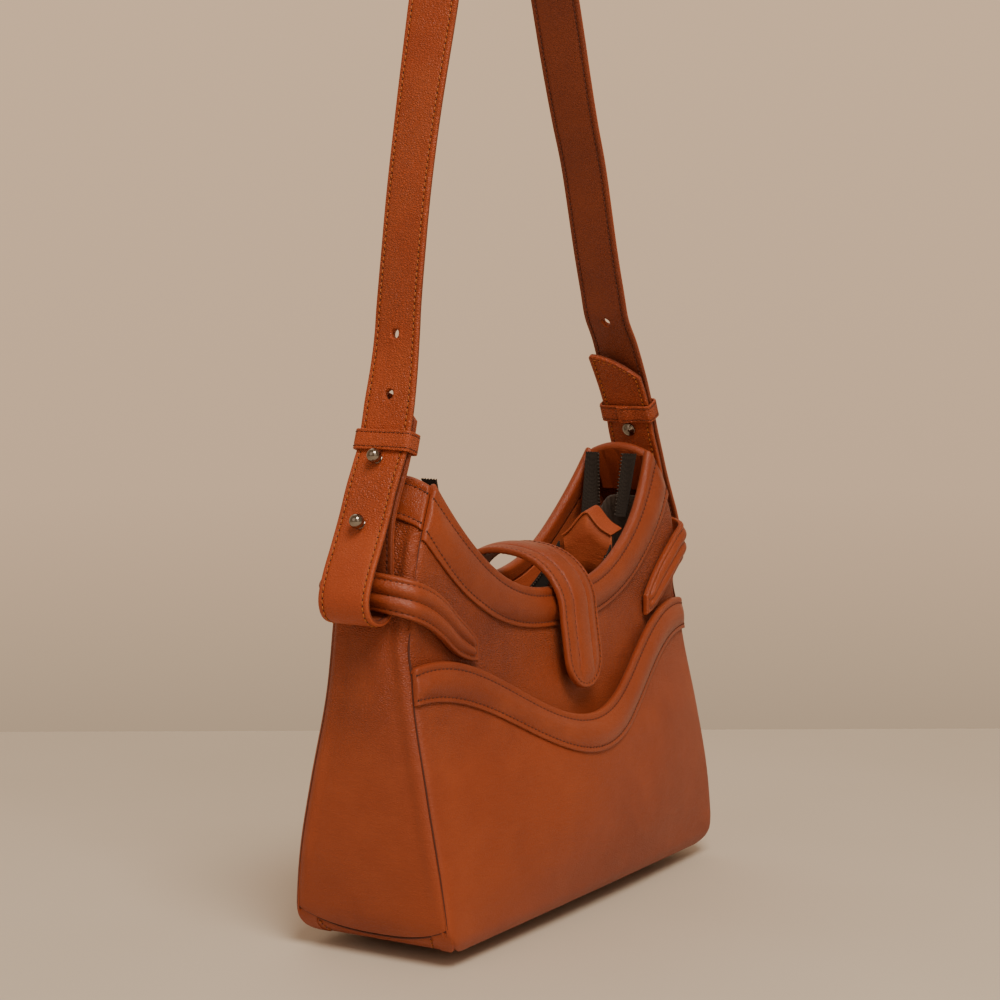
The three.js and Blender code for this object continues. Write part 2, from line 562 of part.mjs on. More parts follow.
for (const [word, { end, upper, tail }] of Object.entries(strapRuns)) {
  const points = [...upper, ...foldRun, ...tail].map(([x, z]) => [end * x, z]);
  let strap = toSolid(stripAlong(points, STRAP_THICK, STRAP_WIDTH, 56)).subtract(foldRoof());

  // The keeper: a leather ring round both runs.
  const outerRun = new THREE.SplineCurve(upper.map(([x, z]) => new THREE.Vector2(end * x, z)));
  const keeperAt = outerRun.getPoint(3 / 4);
  const keeperAlong = outerRun.getTangent(3 / 4).negate();
  const lean = Math.atan2(keeperAlong.x, keeperAlong.y);
  const ring = new THREE.Shape();
  const ringHalf = { x: 5.8, y: strapHalf + 2 };
  ring.moveTo(-ringHalf.x, -ringHalf.y).lineTo(ringHalf.x, -ringHalf.y)
    .lineTo(ringHalf.x, ringHalf.y).lineTo(-ringHalf.x, ringHalf.y);
  const wallThick = 1.5;
  ring.holes.push(new THREE.Path([[-1, -1], [-1, 1], [1, 1], [1, -1]].map(([i, j]) =>
    new THREE.Vector2(i * (ringHalf.x - wallThick), j * (ringHalf.y - wallThick)))));
  const keeper = add(`${word}_keeper`, new THREE.ExtrudeGeometry(ring, {
    depth: KEEPER_TALL, bevelEnabled: false }).translate(0, 0, -KEEPER_TALL / 2), "leather");
  keeper.position.set(keeperAt.x - end * KEEPER_INSET, 0, keeperAt.y);
  keeper.rotation.y = lean;

  // Ball studs through both runs, each with its screw on the inside.
  const fold = new THREE.SplineCurve(points.map(([x, z]) => new THREE.Vector2(x, z)));
  const keeperU = nearest(fold, keeperAt);
  studPlaces.forEach((below, i) => {
    const t = keeperU + below / fold.getLength();
    const at = fold.getPointAt(t);
    const along = fold.getTangentAt(t);
    const out = new THREE.Vector2(-along.y, along.x);
    if (out.x * end < 0) out.negate();
    const { reach, lean: tailLean } = tailBehind(fold, at, along, out);
    strap = strap.subtract(along2d(new THREE.CylinderGeometry(2.1, 2.1, 24, 12), at, out, 0));
    const ballRadius = STUD_BALL / 2;
    const neck = STUD_NECK / 2;
    const screwFace = -reach - STRAP_THICK / 2 - GAP - SCREW_RADIUS * Math.tan(tailLean);
    const face = STRAP_THICK / 2 + GAP;
    const arcStart = Math.asin(neck / ballRadius);
    const ballCentre = face + FLANGE_THICK + ballRadius * Math.cos(arcStart);
    const ball = [];
    for (let k = 0; k <= BALL_ROWS; k++) {
      const angle = THREE.MathUtils.lerp(Math.PI - arcStart, 0, k / BALL_ROWS);
      ball.push([ballRadius * Math.sin(angle), ballCentre + ballRadius * Math.cos(angle)]);
    }
    ball[BALL_ROWS][0] = 0;
    const studProfile = [[0, screwFace + GAP], [neck, screwFace + GAP], [neck, face], [FLANGE_RADIUS, face],
      [FLANGE_RADIUS, face + FLANGE_THICK], ...ball];
    const stud = new THREE.LatheGeometry(studProfile.map(([r, h]) => new THREE.Vector2(r, h)), 12);
    add(`${word}_stud_${i + 1}`, fromSolid(along2d(stud, at, out, 0)), "nickel");
    const screw = new THREE.CylinderGeometry(SCREW_RADIUS, SCREW_RADIUS, SCREW_THICK, 12);
    const screwSolid = along2d(screw, at, out, screwFace - SCREW_THICK / 2);
    add(`${word}_stud_screw_${i + 1}`, fromSolid(screwSolid), "nickel");
  });
  add(`strap_${word}_end`, fromSolid(strap), "leather");
}

// A turned solid whose axis is moved on to a line in the XZ plane, `shift` along it.
function along2d(geometry, at, out, shift) {
  const place = new THREE.Matrix4().makeRotationFromQuaternion(
    new THREE.Quaternion().setFromUnitVectors(
      new THREE.Vector3(0, 1, 0),
      new THREE.Vector3(out.x, 0, out.y),
    ),
  );
  place.setPosition(at.x + out.x * shift, 0, at.y + out.y * shift);
  return toSolid(geometry.applyMatrix4(place));
}

// How far the tail lies behind the outer run at one point, middle to middle, and how far it leans from it.
function tailBehind(fold, at, along, out) {
  let best = null;
  for (let t = 0.6; t < 1; t += 0.002) {
    const to = fold.getPointAt(t).sub(at);
    const off = Math.abs(to.dot(along));
    if (best && off >= best.off) continue;
    const lean = Math.acos(Math.min(1, Math.abs(fold.getTangentAt(t).dot(along))));
    best = { off, reach: -to.dot(out), lean };
  }
  return best;
}

function nearest(curve, point) {
  let best = 0;
  for (let i = 0; i <= 600; i++) {
    const t = i / 600;
    if (curve.getPointAt(t).distanceTo(point) < curve.getPointAt(best).distanceTo(point)) best = t;
  }
  return best;
}

// The long middle of the strap, up from the fold line on the left, over the top and down on the right.
const archLine = [[-121, 329], [-119.2, 345], [-115.2, 370], [-108.4, 408], [-98.4, 451], [-84.6, 503],
  [-69, 565], [-57.5, 622], [-51.5, 664], [-46.5, 693], [-36.5, 708], [-25, 709], [-14, 698], [-8, 676],
  [4, 635], [24, 575], [43.8, 515], [57, 474], [66.5, 447], [77, 420], [90.4, 374], [99, 348], [106.2, 329]];
const arch = toSolid(stripAlong(archLine, STRAP_THICK, STRAP_WIDTH, 60));
const below = toSolid(new THREE.BoxGeometry(400, 60, 60).translate(0, 0, FOLD_Z - 30));
const foldEnd = new THREE.CylinderGeometry(strapHalf, strapHalf, 400, 32);
const rounded = toSolid(foldEnd.rotateZ(Math.PI / 2).translate(0, 0, FOLD_Z));
add("strap_arch", fromSolid(arch.subtract(below.subtract(rounded))), "leather");

// ---------------------------------------------------------------- feet
const footRadius = FOOT_DIAMETER / 2;
const footProfile = [
  [0, 0], [footRadius * 0.55, 0], [footRadius * 0.85, 0.8], [footRadius, 2.6], [footRadius, 4],
  [footRadius * 0.9, BASE_Z - GAP], [0, BASE_Z - GAP]].map(([r, z]) => new THREE.Vector2(r, z));
for (const [hand, x] of [["left", -FOOT_X], ["right", FOOT_X]]) {
  for (const [word, y] of [["front", -FOOT_Y], ["back", FOOT_Y]]) {
    const foot = add(`foot_${word}_${hand}`, new THREE.LatheGeometry(footProfile, 16), "nickel");
    foot.geometry.rotateX(Math.PI / 2);
    foot.position.set(x, y, 0);
  }
}

export default bag;
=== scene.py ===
import math

import bmesh
import bpy
import numpy as np
from mathutils import Matrix, Vector


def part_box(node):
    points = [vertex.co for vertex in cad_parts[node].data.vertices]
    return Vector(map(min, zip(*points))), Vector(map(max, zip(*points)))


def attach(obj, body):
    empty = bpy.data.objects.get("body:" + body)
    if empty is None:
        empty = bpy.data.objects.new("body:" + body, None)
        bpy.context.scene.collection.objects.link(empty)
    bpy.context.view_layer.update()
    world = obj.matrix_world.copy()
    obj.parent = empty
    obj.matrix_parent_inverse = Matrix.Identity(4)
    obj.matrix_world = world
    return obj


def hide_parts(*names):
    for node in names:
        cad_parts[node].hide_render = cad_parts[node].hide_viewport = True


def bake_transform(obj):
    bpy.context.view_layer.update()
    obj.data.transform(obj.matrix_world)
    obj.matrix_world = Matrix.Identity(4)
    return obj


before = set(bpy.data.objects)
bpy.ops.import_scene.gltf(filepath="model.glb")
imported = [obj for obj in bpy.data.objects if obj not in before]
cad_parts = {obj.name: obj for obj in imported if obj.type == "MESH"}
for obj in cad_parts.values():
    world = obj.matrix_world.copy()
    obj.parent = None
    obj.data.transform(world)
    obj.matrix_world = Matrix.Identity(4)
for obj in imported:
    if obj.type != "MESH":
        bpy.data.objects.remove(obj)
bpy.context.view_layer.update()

MM = 0.001
FRONT, BACK = -1, 1
LEFT, RIGHT = -1, 1
UP = np.array([0.0, 0, 1])

# ---- driving dimensions
LEATHER = 2.2  # thickness of a wall
GAP = 0.4  # between pieces that lie on each other
BASE_Z = 6
EDGE_R = 12  # of the base's long edges
CORNER_R = 20  # of the lower corners, seen from the front
GUSSET_FOOT_Z = 12
HORN_X, HORN_Z = 120.5, 249.5
HORN_ROUND = 5  # how much higher a gusset's top is in its middle
MOUTH_Z, POCKET_Z = 183.3, 112.3  # lowest points of the mouth and of the pocket's edge
BAND = 20  # width of the padded bands
POCKET_LAYER = LEATHER + 1
STEP_Z = 163  # where the pocket's layer has ended in the side seams
STRAP_WIDTH = 31
STRAP_THICK = 2.8
TAB_WIDTH = 38
TAB_THICK = 3.2
SEAM_ROLL = 2.2  # how far the walls round over into their side seams
SEAM_LAP = 1.5  # the gusset's edge is caught this far under the outer face of the walls
SEAM_SINK = 1.4  # how deep the walls are drawn in at their side seams
SEAM_REACH = 5.5  # width of the leather that is drawn in
EDGE_TRIM = 2.6  # how far the walls' and gussets' leather stops below the bindings' upper edges
HANDS = (("left", LEFT), ("right", RIGHT))
SIDES = (("front", FRONT), ("back", BACK))


# ---- curves of the body
def profile(points):
    """A smooth curve through (place, value) pairs, which takes arrays."""
    xs, ys = np.array(points, float).T
    last = len(xs) - 1
    low = np.maximum(np.arange(last + 1) - 1, 0)
    high = np.minimum(np.arange(last + 1) + 1, last)
    slope = (ys[high] - ys[low]) / (xs[high] - xs[low])

    def at(x):
        x = np.clip(x, xs[0], xs[-1])
        i = np.clip(np.searchsorted(xs, x) - 1, 0, last - 1)
        w = xs[i + 1] - xs[i]
        t = (x - xs[i]) / w
        lean = w * t * (1 - t) * ((1 - t) * slope[i] - t * slope[i + 1])
        return ys[i] + (ys[i + 1] - ys[i]) * (t * t * (3 - 2 * t)) + lean

    return at


def smooth(x, low, high):
    """From 0 to 1 as x goes from low to high."""
    t = np.clip((x - low) / (high - low), 0, 1)
    return t * t * (3 - 2 * t)


def xyz(*parts):
    """Points from three coordinates whose shapes broadcast together."""
    return np.stack(np.broadcast_arrays(*parts), -1)


def unit(vectors):
    return vectors / np.linalg.norm(vectors, axis=-1, keepdims=True)


def circle(count):
    return np.linspace(0, 2 * math.pi, count, endpoint=False)


def sample(at, run, rows):
    """Rows of numbers read off at distances `at`, where `run` is the distance of each row."""
    return np.stack([np.interp(at, run, column) for column in rows.T], -1)


half_width = profile([(0, 149), (60, 152), (120, 150.5), (180, 146.5), (215, 140), (250, HORN_X),
                      (265, 110)])
half_depth = profile([(0, 52.5), (50, 46.8), (95, 38.3), (140, 29.4), (180, 26.4), (215, 26), (265, 20)])
front_bulge = profile([(6, 0), (40, 6), (92, 8), (130, 9), (163, 8.3), (183, 5.6), (265, 1)])
pocket_bulge = profile([(6, 0), (40, 11), (92, 17.5), (112, 15.5), (135, 13.5), (165, 11)])
back_bulge = profile([(6, 0), (40, 11.6), (92, 15), (130, 12), (163, 7.5), (183, 4.5), (265, 1)])


def mouth_edge(x):
    return MOUTH_Z + (HORN_Z - MOUTH_Z) * np.abs(x / HORN_X) ** 2.65


def mouth_band_edge(x):
    return MOUTH_Z - BAND + 61.5 * np.abs(x / 136) ** 2.62


def pocket_edge(x):
    return POCKET_Z + 23.25 * (1 - np.cos(math.pi * x / 135))


def pocket_band_edge(x):
    return POCKET_Z - BAND + 23.65 * (1 - np.cos(math.pi * x / 143))


def outline_x(z, inside=0):
    drop = np.maximum(0, BASE_Z + CORNER_R - z)
    return half_width(z) - CORNER_R + np.sqrt(np.maximum(0, (CORNER_R - inside) ** 2 - drop**2))


def seam_depth(z, inside=0):
    drop = np.maximum(0, BASE_Z + EDGE_R - z)
    return half_depth(z) - EDGE_R + np.sqrt(np.maximum(0, (EDGE_R - inside) ** 2 - drop**2))


def soft(u, z, seed):
    """A slow, shallow wave in a leather wall, in mm, which dies away at the seams."""
    x = 150 * u
    wave = np.sin(x / 31 + seed) * np.sin(z / 27 + 1.7 * seed) + 0.6 * np.sin(x / 17 - z / 21 + 2.3 * seed)
    return 0.45 * wave * (1 - u * u) * smooth(z, 8, 40)


def front_depth(u, z):
    step = POCKET_LAYER * (1 - smooth(z, STEP_Z, STEP_Z + 22))
    return seam_depth(z, step) + front_bulge(z) * (1 - u * u) + soft(u, z, 1.1)


def pocket_depth(u, z):
    return seam_depth(z) + pocket_bulge(z) * (1 - u * u) + soft(u, z, 2.6)


def back_depth(u, z):
    return seam_depth(z) + back_bulge(z) * (1 - u * u) + soft(u, z, 4.2)


def edge_height(u, edge):
    """Where the line at fraction u of the half width meets an edge curve."""
    low = np.zeros_like(u)
    high = np.full_like(u, 165.0)
    for _ in range(34):
        x = (low + high) / 2
        inside = x / outline_x(edge(x)) < np.abs(u)
        low = np.where(inside, x, low)
        high = np.where(inside, high, x)
    return edge(low)


def on_wall(side, depth, u, z):
    return xyz(u * outline_x(z), side * depth(u, z), z)


def spread(count, length, roll=SEAM_ROLL):
    """Places from 0 to 1 along a length in mm, crowded at the ends, which roll over."""
    steps = np.array([0, 0.06, 0.22, 0.5, 1]) * roll / length
    middle = np.linspace(steps[-1], 1 - steps[-1], count)
    return np.concatenate([steps[:-1], middle, 1 - steps[-2::-1]])


def normals(points, toward):
    """Unit normals of a grid of points, on the side that `toward` (a vector or a grid of them) is on."""
    n = np.cross(np.gradient(points, axis=0), np.gradient(points, axis=1))
    n /= np.maximum(np.linalg.norm(n, axis=-1, keepdims=True), 1e-9)
    return np.where(np.sum(n * toward, -1, keepdims=True) < 0, -n, n)


def along(points, axis):
    """Distance in mm along a grid's rows (axis 0) or columns (axis 1) from their start."""
    step = np.linalg.norm(np.diff(points, axis=axis), axis=-1)
    zero = np.zeros_like(np.take(step, [0], axis))
    return np.concatenate([zero, np.cumsum(step, axis)], axis)


def from_ends(points, axis):
    """Distance in mm to the nearer end of a grid's rows (axis 0) or columns (axis 1)."""
    return np.minimum(along(points, axis), np.flip(along(np.flip(points, axis), axis), axis))


def rolled(distance, radius):
    """How far a surface has dropped at a distance from an edge that rolls over."""
    gone = np.clip(radius - distance, 0, radius)
    return radius - np.sqrt(np.maximum(radius**2 - gone**2, 0))


# ---- materials
def srgb(code):
    parts = [int(code[i:i + 2], 16) / 255 for i in (0, 2, 4)]
    return [c / 12.92 if c < 0.04045 else ((c + 0.055) / 1.055) ** 2.4 for c in parts] + [1]


class Nodes:
    """A short way to write the nodes of a material or a world."""

    def __init__(self, owner, shader="Principled BSDF", place="Object"):
        owner.use_nodes = True
        self.owner, self.tree = owner, owner.node_tree
        self.shader = self.tree.nodes[shader]
        self.place = self.new("TexCoord").outputs[place]

    def feed(self, node, values):
        """Links or sets a node's inputs."""
        for key, value in values.items():
            if isinstance(value, bpy.types.NodeSocket):
                self.tree.links.new(value, node.inputs[key])
            else:
                node.inputs[key].default_value = value

    def new(self, kind, values=(), **settings):
        node = self.tree.nodes.new("ShaderNode" + kind)
        for key, value in settings.items():
            setattr(node, key, value)
        self.feed(node, dict(values))
        return node

    def stretched(self, stretch):
        return self.new("Mapping", {"Scale": stretch, "Vector": self.place}).outputs["Vector"]

    def noise(self, scale, detail=2, rough=0.5, stretch=None):
        place = self.stretched(stretch) if stretch else self.place
        return self.new("TexNoise", {"Scale": scale, "Detail": detail, "Roughness": rough,
                                     "Vector": place}).outputs["Fac"]

    def wave(self, direction, scale, **values):
        return self.new("TexWave", {"Scale": scale, "Vector": self.place, **values},
                        bands_direction=direction).outputs["Fac"]

    def math(self, how, a, b):
        return self.new("Math", {0: a, 1: b}, operation=how).outputs[0]

    def remap(self, value, low, high, to_low, to_high):
        return self.new("MapRange", {"Value": value, "From Min": low, "From Max": high, "To Min": to_low,
                                     "To Max": to_high}).outputs["Result"]

    def mix(self, share, a, b):
        return self.new("Mix", {"Factor": share, "A": a, "B": b}, data_type="RGBA").outputs["Result"]

    def bump(self, height, distance, strength=1.0, before=None):
        values = {"Strength": strength, "Distance": distance, "Height": height}
        return self.new("Bump", {**values, "Normal": before} if before else values).outputs["Normal"]

    def done(self, colour, rough, normal, **others):
        """The material, with its shader's inputs fed; underscores in the others' names stand for spaces."""
        self.feed(self.shader, {"Base Color": colour, "Roughness": rough, "Normal": normal})
        self.feed(self.shader, {key.replace("_", " "): value for key, value in others.items()})
        return self.owner


def leather(name, colour, deep, pale, grain, cell=620, squash=1.6, rough=0.44, fade=None, crease_shade=0.5):
    """Drum-dyed leather: pebbles with creases between them, painted shade darkening the furrows, slow changes
    of tone, and paler worn ridges.

    The pebbles are wider than tall by `squash`; `fade` is (low z, high z, weakest share) for grain that is
    pressed smoother low down.
    """
    m = Nodes(bpy.data.materials.new(name))
    wobble = m.new("TexNoise", {"Scale": cell * 0.45, "Vector": m.place}).outputs["Color"]
    warp = m.new("VectorMath", {0: wobble, 1: [1.1 / cell] * 3, 2: m.stretched((1, 1, squash))},
                 operation="MULTIPLY_ADD").outputs[0]
    cells = m.new("TexVoronoi", {"Scale": cell, "Vector": warp}, feature="DISTANCE_TO_EDGE")
    pebble = m.remap(cells.outputs["Distance"], 0, 0.3, 0, 1)
    presence = m.remap(m.noise(24, 2, 0.6), 0.3, 0.7, 0.45, 1)
    if fade:
        low, high, weakest = fade
        rise = m.remap(m.new("SeparateXYZ", {0: m.place}).outputs["Z"], low, high, weakest, 1)
        presence = m.math("MULTIPLY", presence, rise)
    fine = m.math("MULTIPLY", m.noise(cell * 2.4, 3, 0.6), 0.12)
    height = m.math("ADD", m.math("MULTIPLY", pebble, presence), fine)
    creases = m.noise(130, 4, 0.6, stretch=(1, 1, 3.2))
    tone = m.mix(m.remap(m.noise(9, 3, 0.55), 0.32, 0.7, 0, 1), srgb(colour), srgb(deep))
    tone = m.mix(m.remap(m.noise(34, 4, 0.6), 0.45, 0.8, 0, 0.4), tone, srgb(pale))
    # Painted shade: the furrows between the pebbles are darkened towards a dark brown, most where the grain
    # is strongest.
    furrow_shade = m.math("MULTIPLY", m.remap(pebble, 0, 0.7, crease_shade, 0), presence)
    tone = m.mix(furrow_shade, tone, srgb(FURROW_SHADE))
    worn = m.new("NewGeometry").outputs["Pointiness"]
    tone = m.mix(m.remap(worn, 0.52, 0.62, 0, 0.4), tone, srgb(pale))
    return m.done(tone, m.remap(height, 0, 1.3, rough + 0.14, rough - 0.05),
                  m.bump(height, grain, 1, m.bump(creases, 0.0007, 0.4)),
                  Specular_IOR_Level=0.5, Sheen_Weight=0.04, Sheen_Roughness=0.45)


def woven(name, colour, deep, pitch, rib=0.0002, rough=0.85, sheen=0.2):
    """Plain-woven cloth, or the ribbed tape of a zip."""
    m = Nodes(bpy.data.materials.new(name))
    cloth = m.math("MAXIMUM", *[m.wave(axis, 0.314 / pitch, Distortion=0.6) for axis in "XZ"])
    tone = m.mix(m.remap(cloth, 0.2, 0.9, 0.7, 0), srgb(colour), srgb(deep))
    tone = m.mix(m.remap(m.noise(60, 4), 0.4, 0.75, 0, 0.4), tone, srgb(deep))
    rough = m.remap(cloth, 0, 1, rough + 0.1, rough - 0.1)
    return m.done(tone, rough, m.bump(cloth, rib), Sheen_Weight=sheen)


def nickel(name, colour="958d84", rough=0.1):
    m = Nodes(bpy.data.materials.new(name))
    scratch = m.noise(700, 3, 0.6, stretch=(1, 1, 6))
    tone = m.mix(m.remap(m.noise(120, 3), 0.4, 0.8, 0, 0.5), srgb(colour), srgb("5d564f"))
    rough = m.remap(scratch, 0.3, 0.8, rough - 0.05, rough + 0.12)
    return m.done(tone, rough, m.bump(scratch, 0.00001, 0.5), Metallic=1)


def thread(name, colour, deep):
    m = Nodes(bpy.data.materials.new(name))
    twist = m.wave("DIAGONAL", 900)
    return m.done(m.mix(m.remap(twist, 0, 1, 0.5, 0), srgb(colour), srgb(deep)),
                  m.remap(twist, 0, 1, 0.7, 0.55), m.bump(twist, 0.00008), Sheen_Weight=0.03)


def board(name):
    m = Nodes(bpy.data.materials.new(name))
    fibre = m.noise(500, 4, 0.7)
    return m.done(m.mix(fibre, srgb("6d6257"), srgb("4e463e")), m.remap(fibre, 0, 1, 0.7, 0.9),
                  m.bump(fibre, 0.0002))


# The fourth colour is painted shade, laid into the furrows between the leather's pebbles.
TAN, DEEP, PALE, FURROW_SHADE = "96401a", "803315", "a84f28", "531b09"
LOOK = {
    "grain_leather": leather("grained_leather", TAN, DEEP, PALE, grain=0.0006, cell=500, squash=2.0,
                             fade=(0.1, 0.19, 0.15), crease_shade=0.55),
    "padded_leather": leather("smooth_leather", TAN, DEEP, PALE, grain=0.00016, cell=700, rough=0.36,
                             crease_shade=0.3),
    # Painted light: the leather inside the mouth is a paler copy of the outer leather, brightened to make up
    # for the shade inside the bag.
    "inner_leather": leather("facing_leather_lightened", "b04f27", "923d1c", "be6338", grain=0.00015, rough=0.5,
                             crease_shade=0.3),
    "strap_leather": leather("strap_leather", "ab481b", "943a14", "bb5c2e", grain=0.0004, cell=500,
                             squash=2.0, fade=(0.19, 0.25, 0.3), crease_shade=0.38),
    # Painted shade: the strap's inner face is a darker copy of its leather, for the shade it faces into.
    "strap_inner_shade": leather("strap_inner_shade", "7d3313", "6c290f", "8c401e", grain=0.0002, cell=640,
                            rough=0.5, crease_shade=0.25),
    # Painted shade: dark leather for the cords laid in the seams' shadowed valleys.
    "seam_edge": leather("seam_edge", "43180a", "2e0f06", "5a2410", grain=0.0001, cell=900, rough=0.6),
    "edge_paint": leather("edge_paint", "a8592f", "8f4521", "bd7346", grain=0.00003, cell=900, rough=0.36),
    "lining_cloth": woven("lining_cloth", "5a4a40", "3b2f29", 0.0007),
    "zip_tape": woven("zip_tape", "211812", "110c09", 0.0008, 0.00015, rough=0.95, sheen=0.02),
    "base_board": board("base_board"),
    "tooth": nickel("zip_teeth", "4a4542", 0.35),
    "nickel": nickel("nickel"),
    "gold_thread": thread("gold_thread", "b4652a", "88471b"),
    "brown_thread": thread("brown_thread", "5f2611", "3c1508"),
    # Painted shade: dark lenses at the ends of each stitch stand for the shade in the stitch holes.
    "hole": thread("stitch_hole_shade", "260b04", "1a0703"),
}

# ---- making pieces
scene = bpy.context.scene


def mesh_object(name, verts, faces, look):
    mesh = bpy.data.meshes.new(name)
    mesh.from_pydata((np.asarray(verts, float) * MM).tolist(), [], faces)
    mesh.validate()
    obj = bpy.data.objects.new(name, mesh)
    scene.collection.objects.link(obj)
    mesh.materials.append(LOOK[look])
    mesh.polygons.foreach_set("use_smooth", [True] * len(mesh.polygons))
    return obj


def place_piece(obj, slot, body="bag", stands_for=(), bend=None):
    """Rides the piece on its body, or, given a bend, leaves it where it stands with its transform baked in;
    hides the CAD nodes it stands for. The slot is not used.
    """
    if stands_for:
        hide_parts(*stands_for)
    if bend:
        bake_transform(obj)
    else:
        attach(obj, body)
    return obj


def skin_faces(count_a, count_b):
    """Faces of two grids, outer and inner, joined round their four borders."""
    outer = np.arange(count_a * count_b).reshape(count_a, count_b)
    inner = outer + count_a * count_b

    def cells(grid):
        return np.stack([grid[:-1, :-1], grid[1:, :-1], grid[1:, 1:], grid[:-1, 1:]], -1).reshape(-1, 4)

    faces = [cells(outer), cells(inner)[:, ::-1]]
    for top, under, order in ((outer[0], inner[0], 1), (outer[-1], inner[-1], -1),
                              (outer[:, 0], inner[:, 0], -1), (outer[:, -1], inner[:, -1], 1)):
        faces.append(np.stack([top[:-1], top[1:], under[1:], under[:-1]], -1)[:, ::order])
    return np.concatenate(faces)


def tube_faces(rings, count, start=0, caps=True):
    """Faces of a tube of rings with `count` points each, closed by a cap at each end."""
    faces = []
    for base in range(start, start + (rings - 1) * count, count):
        for k in range(count):
            a, b = base + k, base + (k + 1) % count
            faces.append([a, b, b + count, a + count])
    last = start + (rings - 1) * count
    ends = [[start + k for k in range(count - 1, -1, -1)], [last + k for k in range(count)]]
    return faces + ends if caps else faces


def skin(name, outer, inner, look, inner_look=None):
    """One closed piece between two grids of points, with coincident points welded."""
    faces = skin_faces(*outer.shape[:2])
    verts = np.concatenate([outer.reshape(-1, 3), inner.reshape(-1, 3)])
    obj = mesh_object(name, verts, faces.tolist(), look)
    if inner_look:
        obj.data.materials.append(LOOK[inner_look])
        cells = (outer.shape[0] - 1) * (outer.shape[1] - 1)
        index = np.zeros(len(faces), int)
        index[cells:2 * cells] = 1
        obj.data.polygons.foreach_set("material_index", index)
    tidy(obj)
    return obj


def sheet(name, points, toward, upper, lower, look, **how):
    """A sheet between two heights in mm over a grid of points, placed on its body."""
    out = normals(points, toward)
    faces = [points + out * np.asarray(height)[..., None] for height in (upper, lower)]
    place_piece(skin(name, *faces, look), look, **how)
    return out, faces


def tidy(obj, distance=0.00002):
    """Welds coincident points, drops collapsed faces and turns every face outward."""
    bm = bmesh.new()
    bm.from_mesh(obj.data)
    bmesh.ops.remove_doubles(bm, verts=bm.verts, dist=distance)
    bmesh.ops.dissolve_degenerate(bm, edges=bm.edges, dist=distance / 2)
    bmesh.ops.recalc_face_normals(bm, faces=bm.faces)
    bm.to_mesh(obj.data)
    bm.free()
    obj.data.polygons.foreach_set("use_smooth", [True] * len(obj.data.polygons))


def stitch_row(line, normal, look, pitch=3.1, length=2.0, radius=0.3, lift=0.2, hole=0.5):
    """Thread stitches laid along a line of surface points, each dipping into the leather at its ends."""
    line = np.asarray(line, float)
    normal = np.broadcast_to(np.asarray(normal, float), line.shape)
    run = along(line[None], 1)[0]
    count = max(1, int(run[-1] / pitch))
    starts = (np.arange(count) + 0.5) * run[-1] / count - length / 2
    shares = np.array([0, 0.2, 0.5, 0.8, 1])
    heights = np.array([-0.4, lift * 0.8, lift, lift * 0.8, -0.4])
    swell = np.array([0.6, 1, 1.05, 1, 0.6])
    at = starts[:, None] + shares * length
    centre, up = sample(at, run, line), unit(sample(at, run, normal))
    across = np.cross(up, unit(centre[:, -1:] - centre[:, :1]))
    centre = centre + up * heights[:, None] + across * ((shares - 0.5) * 0.35)[:, None]
    angles = circle(6)[:, None]
    ring = across[:, :, None] * np.cos(angles) + up[:, :, None] * np.sin(angles)
    verts = centre[:, :, None] + ring * (radius * swell)[:, None, None]
    faces = [face for s in range(count) for face in tube_faces(5, 6, s * 30)]
    gap = (pitch - length) / 2
    edge = np.clip(np.append(starts - gap, starts[-1] + length + gap), 0, run[-1])
    # Dark lenses at the stitch ends, painted shade of the stitch holes.
    holes = lens_set(sample(edge, run, line), unit(sample(edge, run, normal)), hole, 0.09)
    return [(verts.reshape(-1, 3), faces, look), (*holes, "hole")]


def lens_set(places, ups, radius, height):
    """Small closed lenses lying on a surface, one at each place."""
    side = unit(np.cross(ups, [0.3, 0.2, 0.93]))
    other = np.cross(ups, side)
    angles = circle(8)[:, None]
    rim = places[:, None] + radius * (side[:, None] * np.cos(angles) + other[:, None] * np.sin(angles))
    verts = np.concatenate([rim, (places + ups * height)[:, None], (places - ups * 0.4)[:, None]], 1)
    faces = []
    for base in range(0, 10 * len(places), 10):
        for k in range(8):
            a, b = base + k, base + (k + 1) % 8
            faces += [[a, b, base + 8], [b, a, base + 9]]
    return verts.reshape(-1, 3), faces


def sewn(name, rows, slot, **how):
    """One piece holding several rows of stitches, with a material for each colour."""
    verts, faces, looks, index = [], [], [], []
    start = 0
    for points, quads, look in [one for row in rows for one in row]:
        if look not in looks:
            looks.append(look)
        verts.append(points)
        faces += [[i + start for i in face] for face in quads]
        index += [looks.index(look)] * len(quads)
        start += len(points)
    obj = mesh_object(name, np.concatenate(verts), faces, looks[0])
    for look in looks[1:]:
        obj.data.materials.append(LOOK[look])
    obj.data.polygons.foreach_set("material_index", index)
    obj.data.update()
    return place_piece(obj, slot, **how)


# ---- camera, lights and stage
TABLE_FAR, TABLE_HALF, TABLE_DEEP = 1.89, 3, 5  # in metres, the first from the camera to the far edge


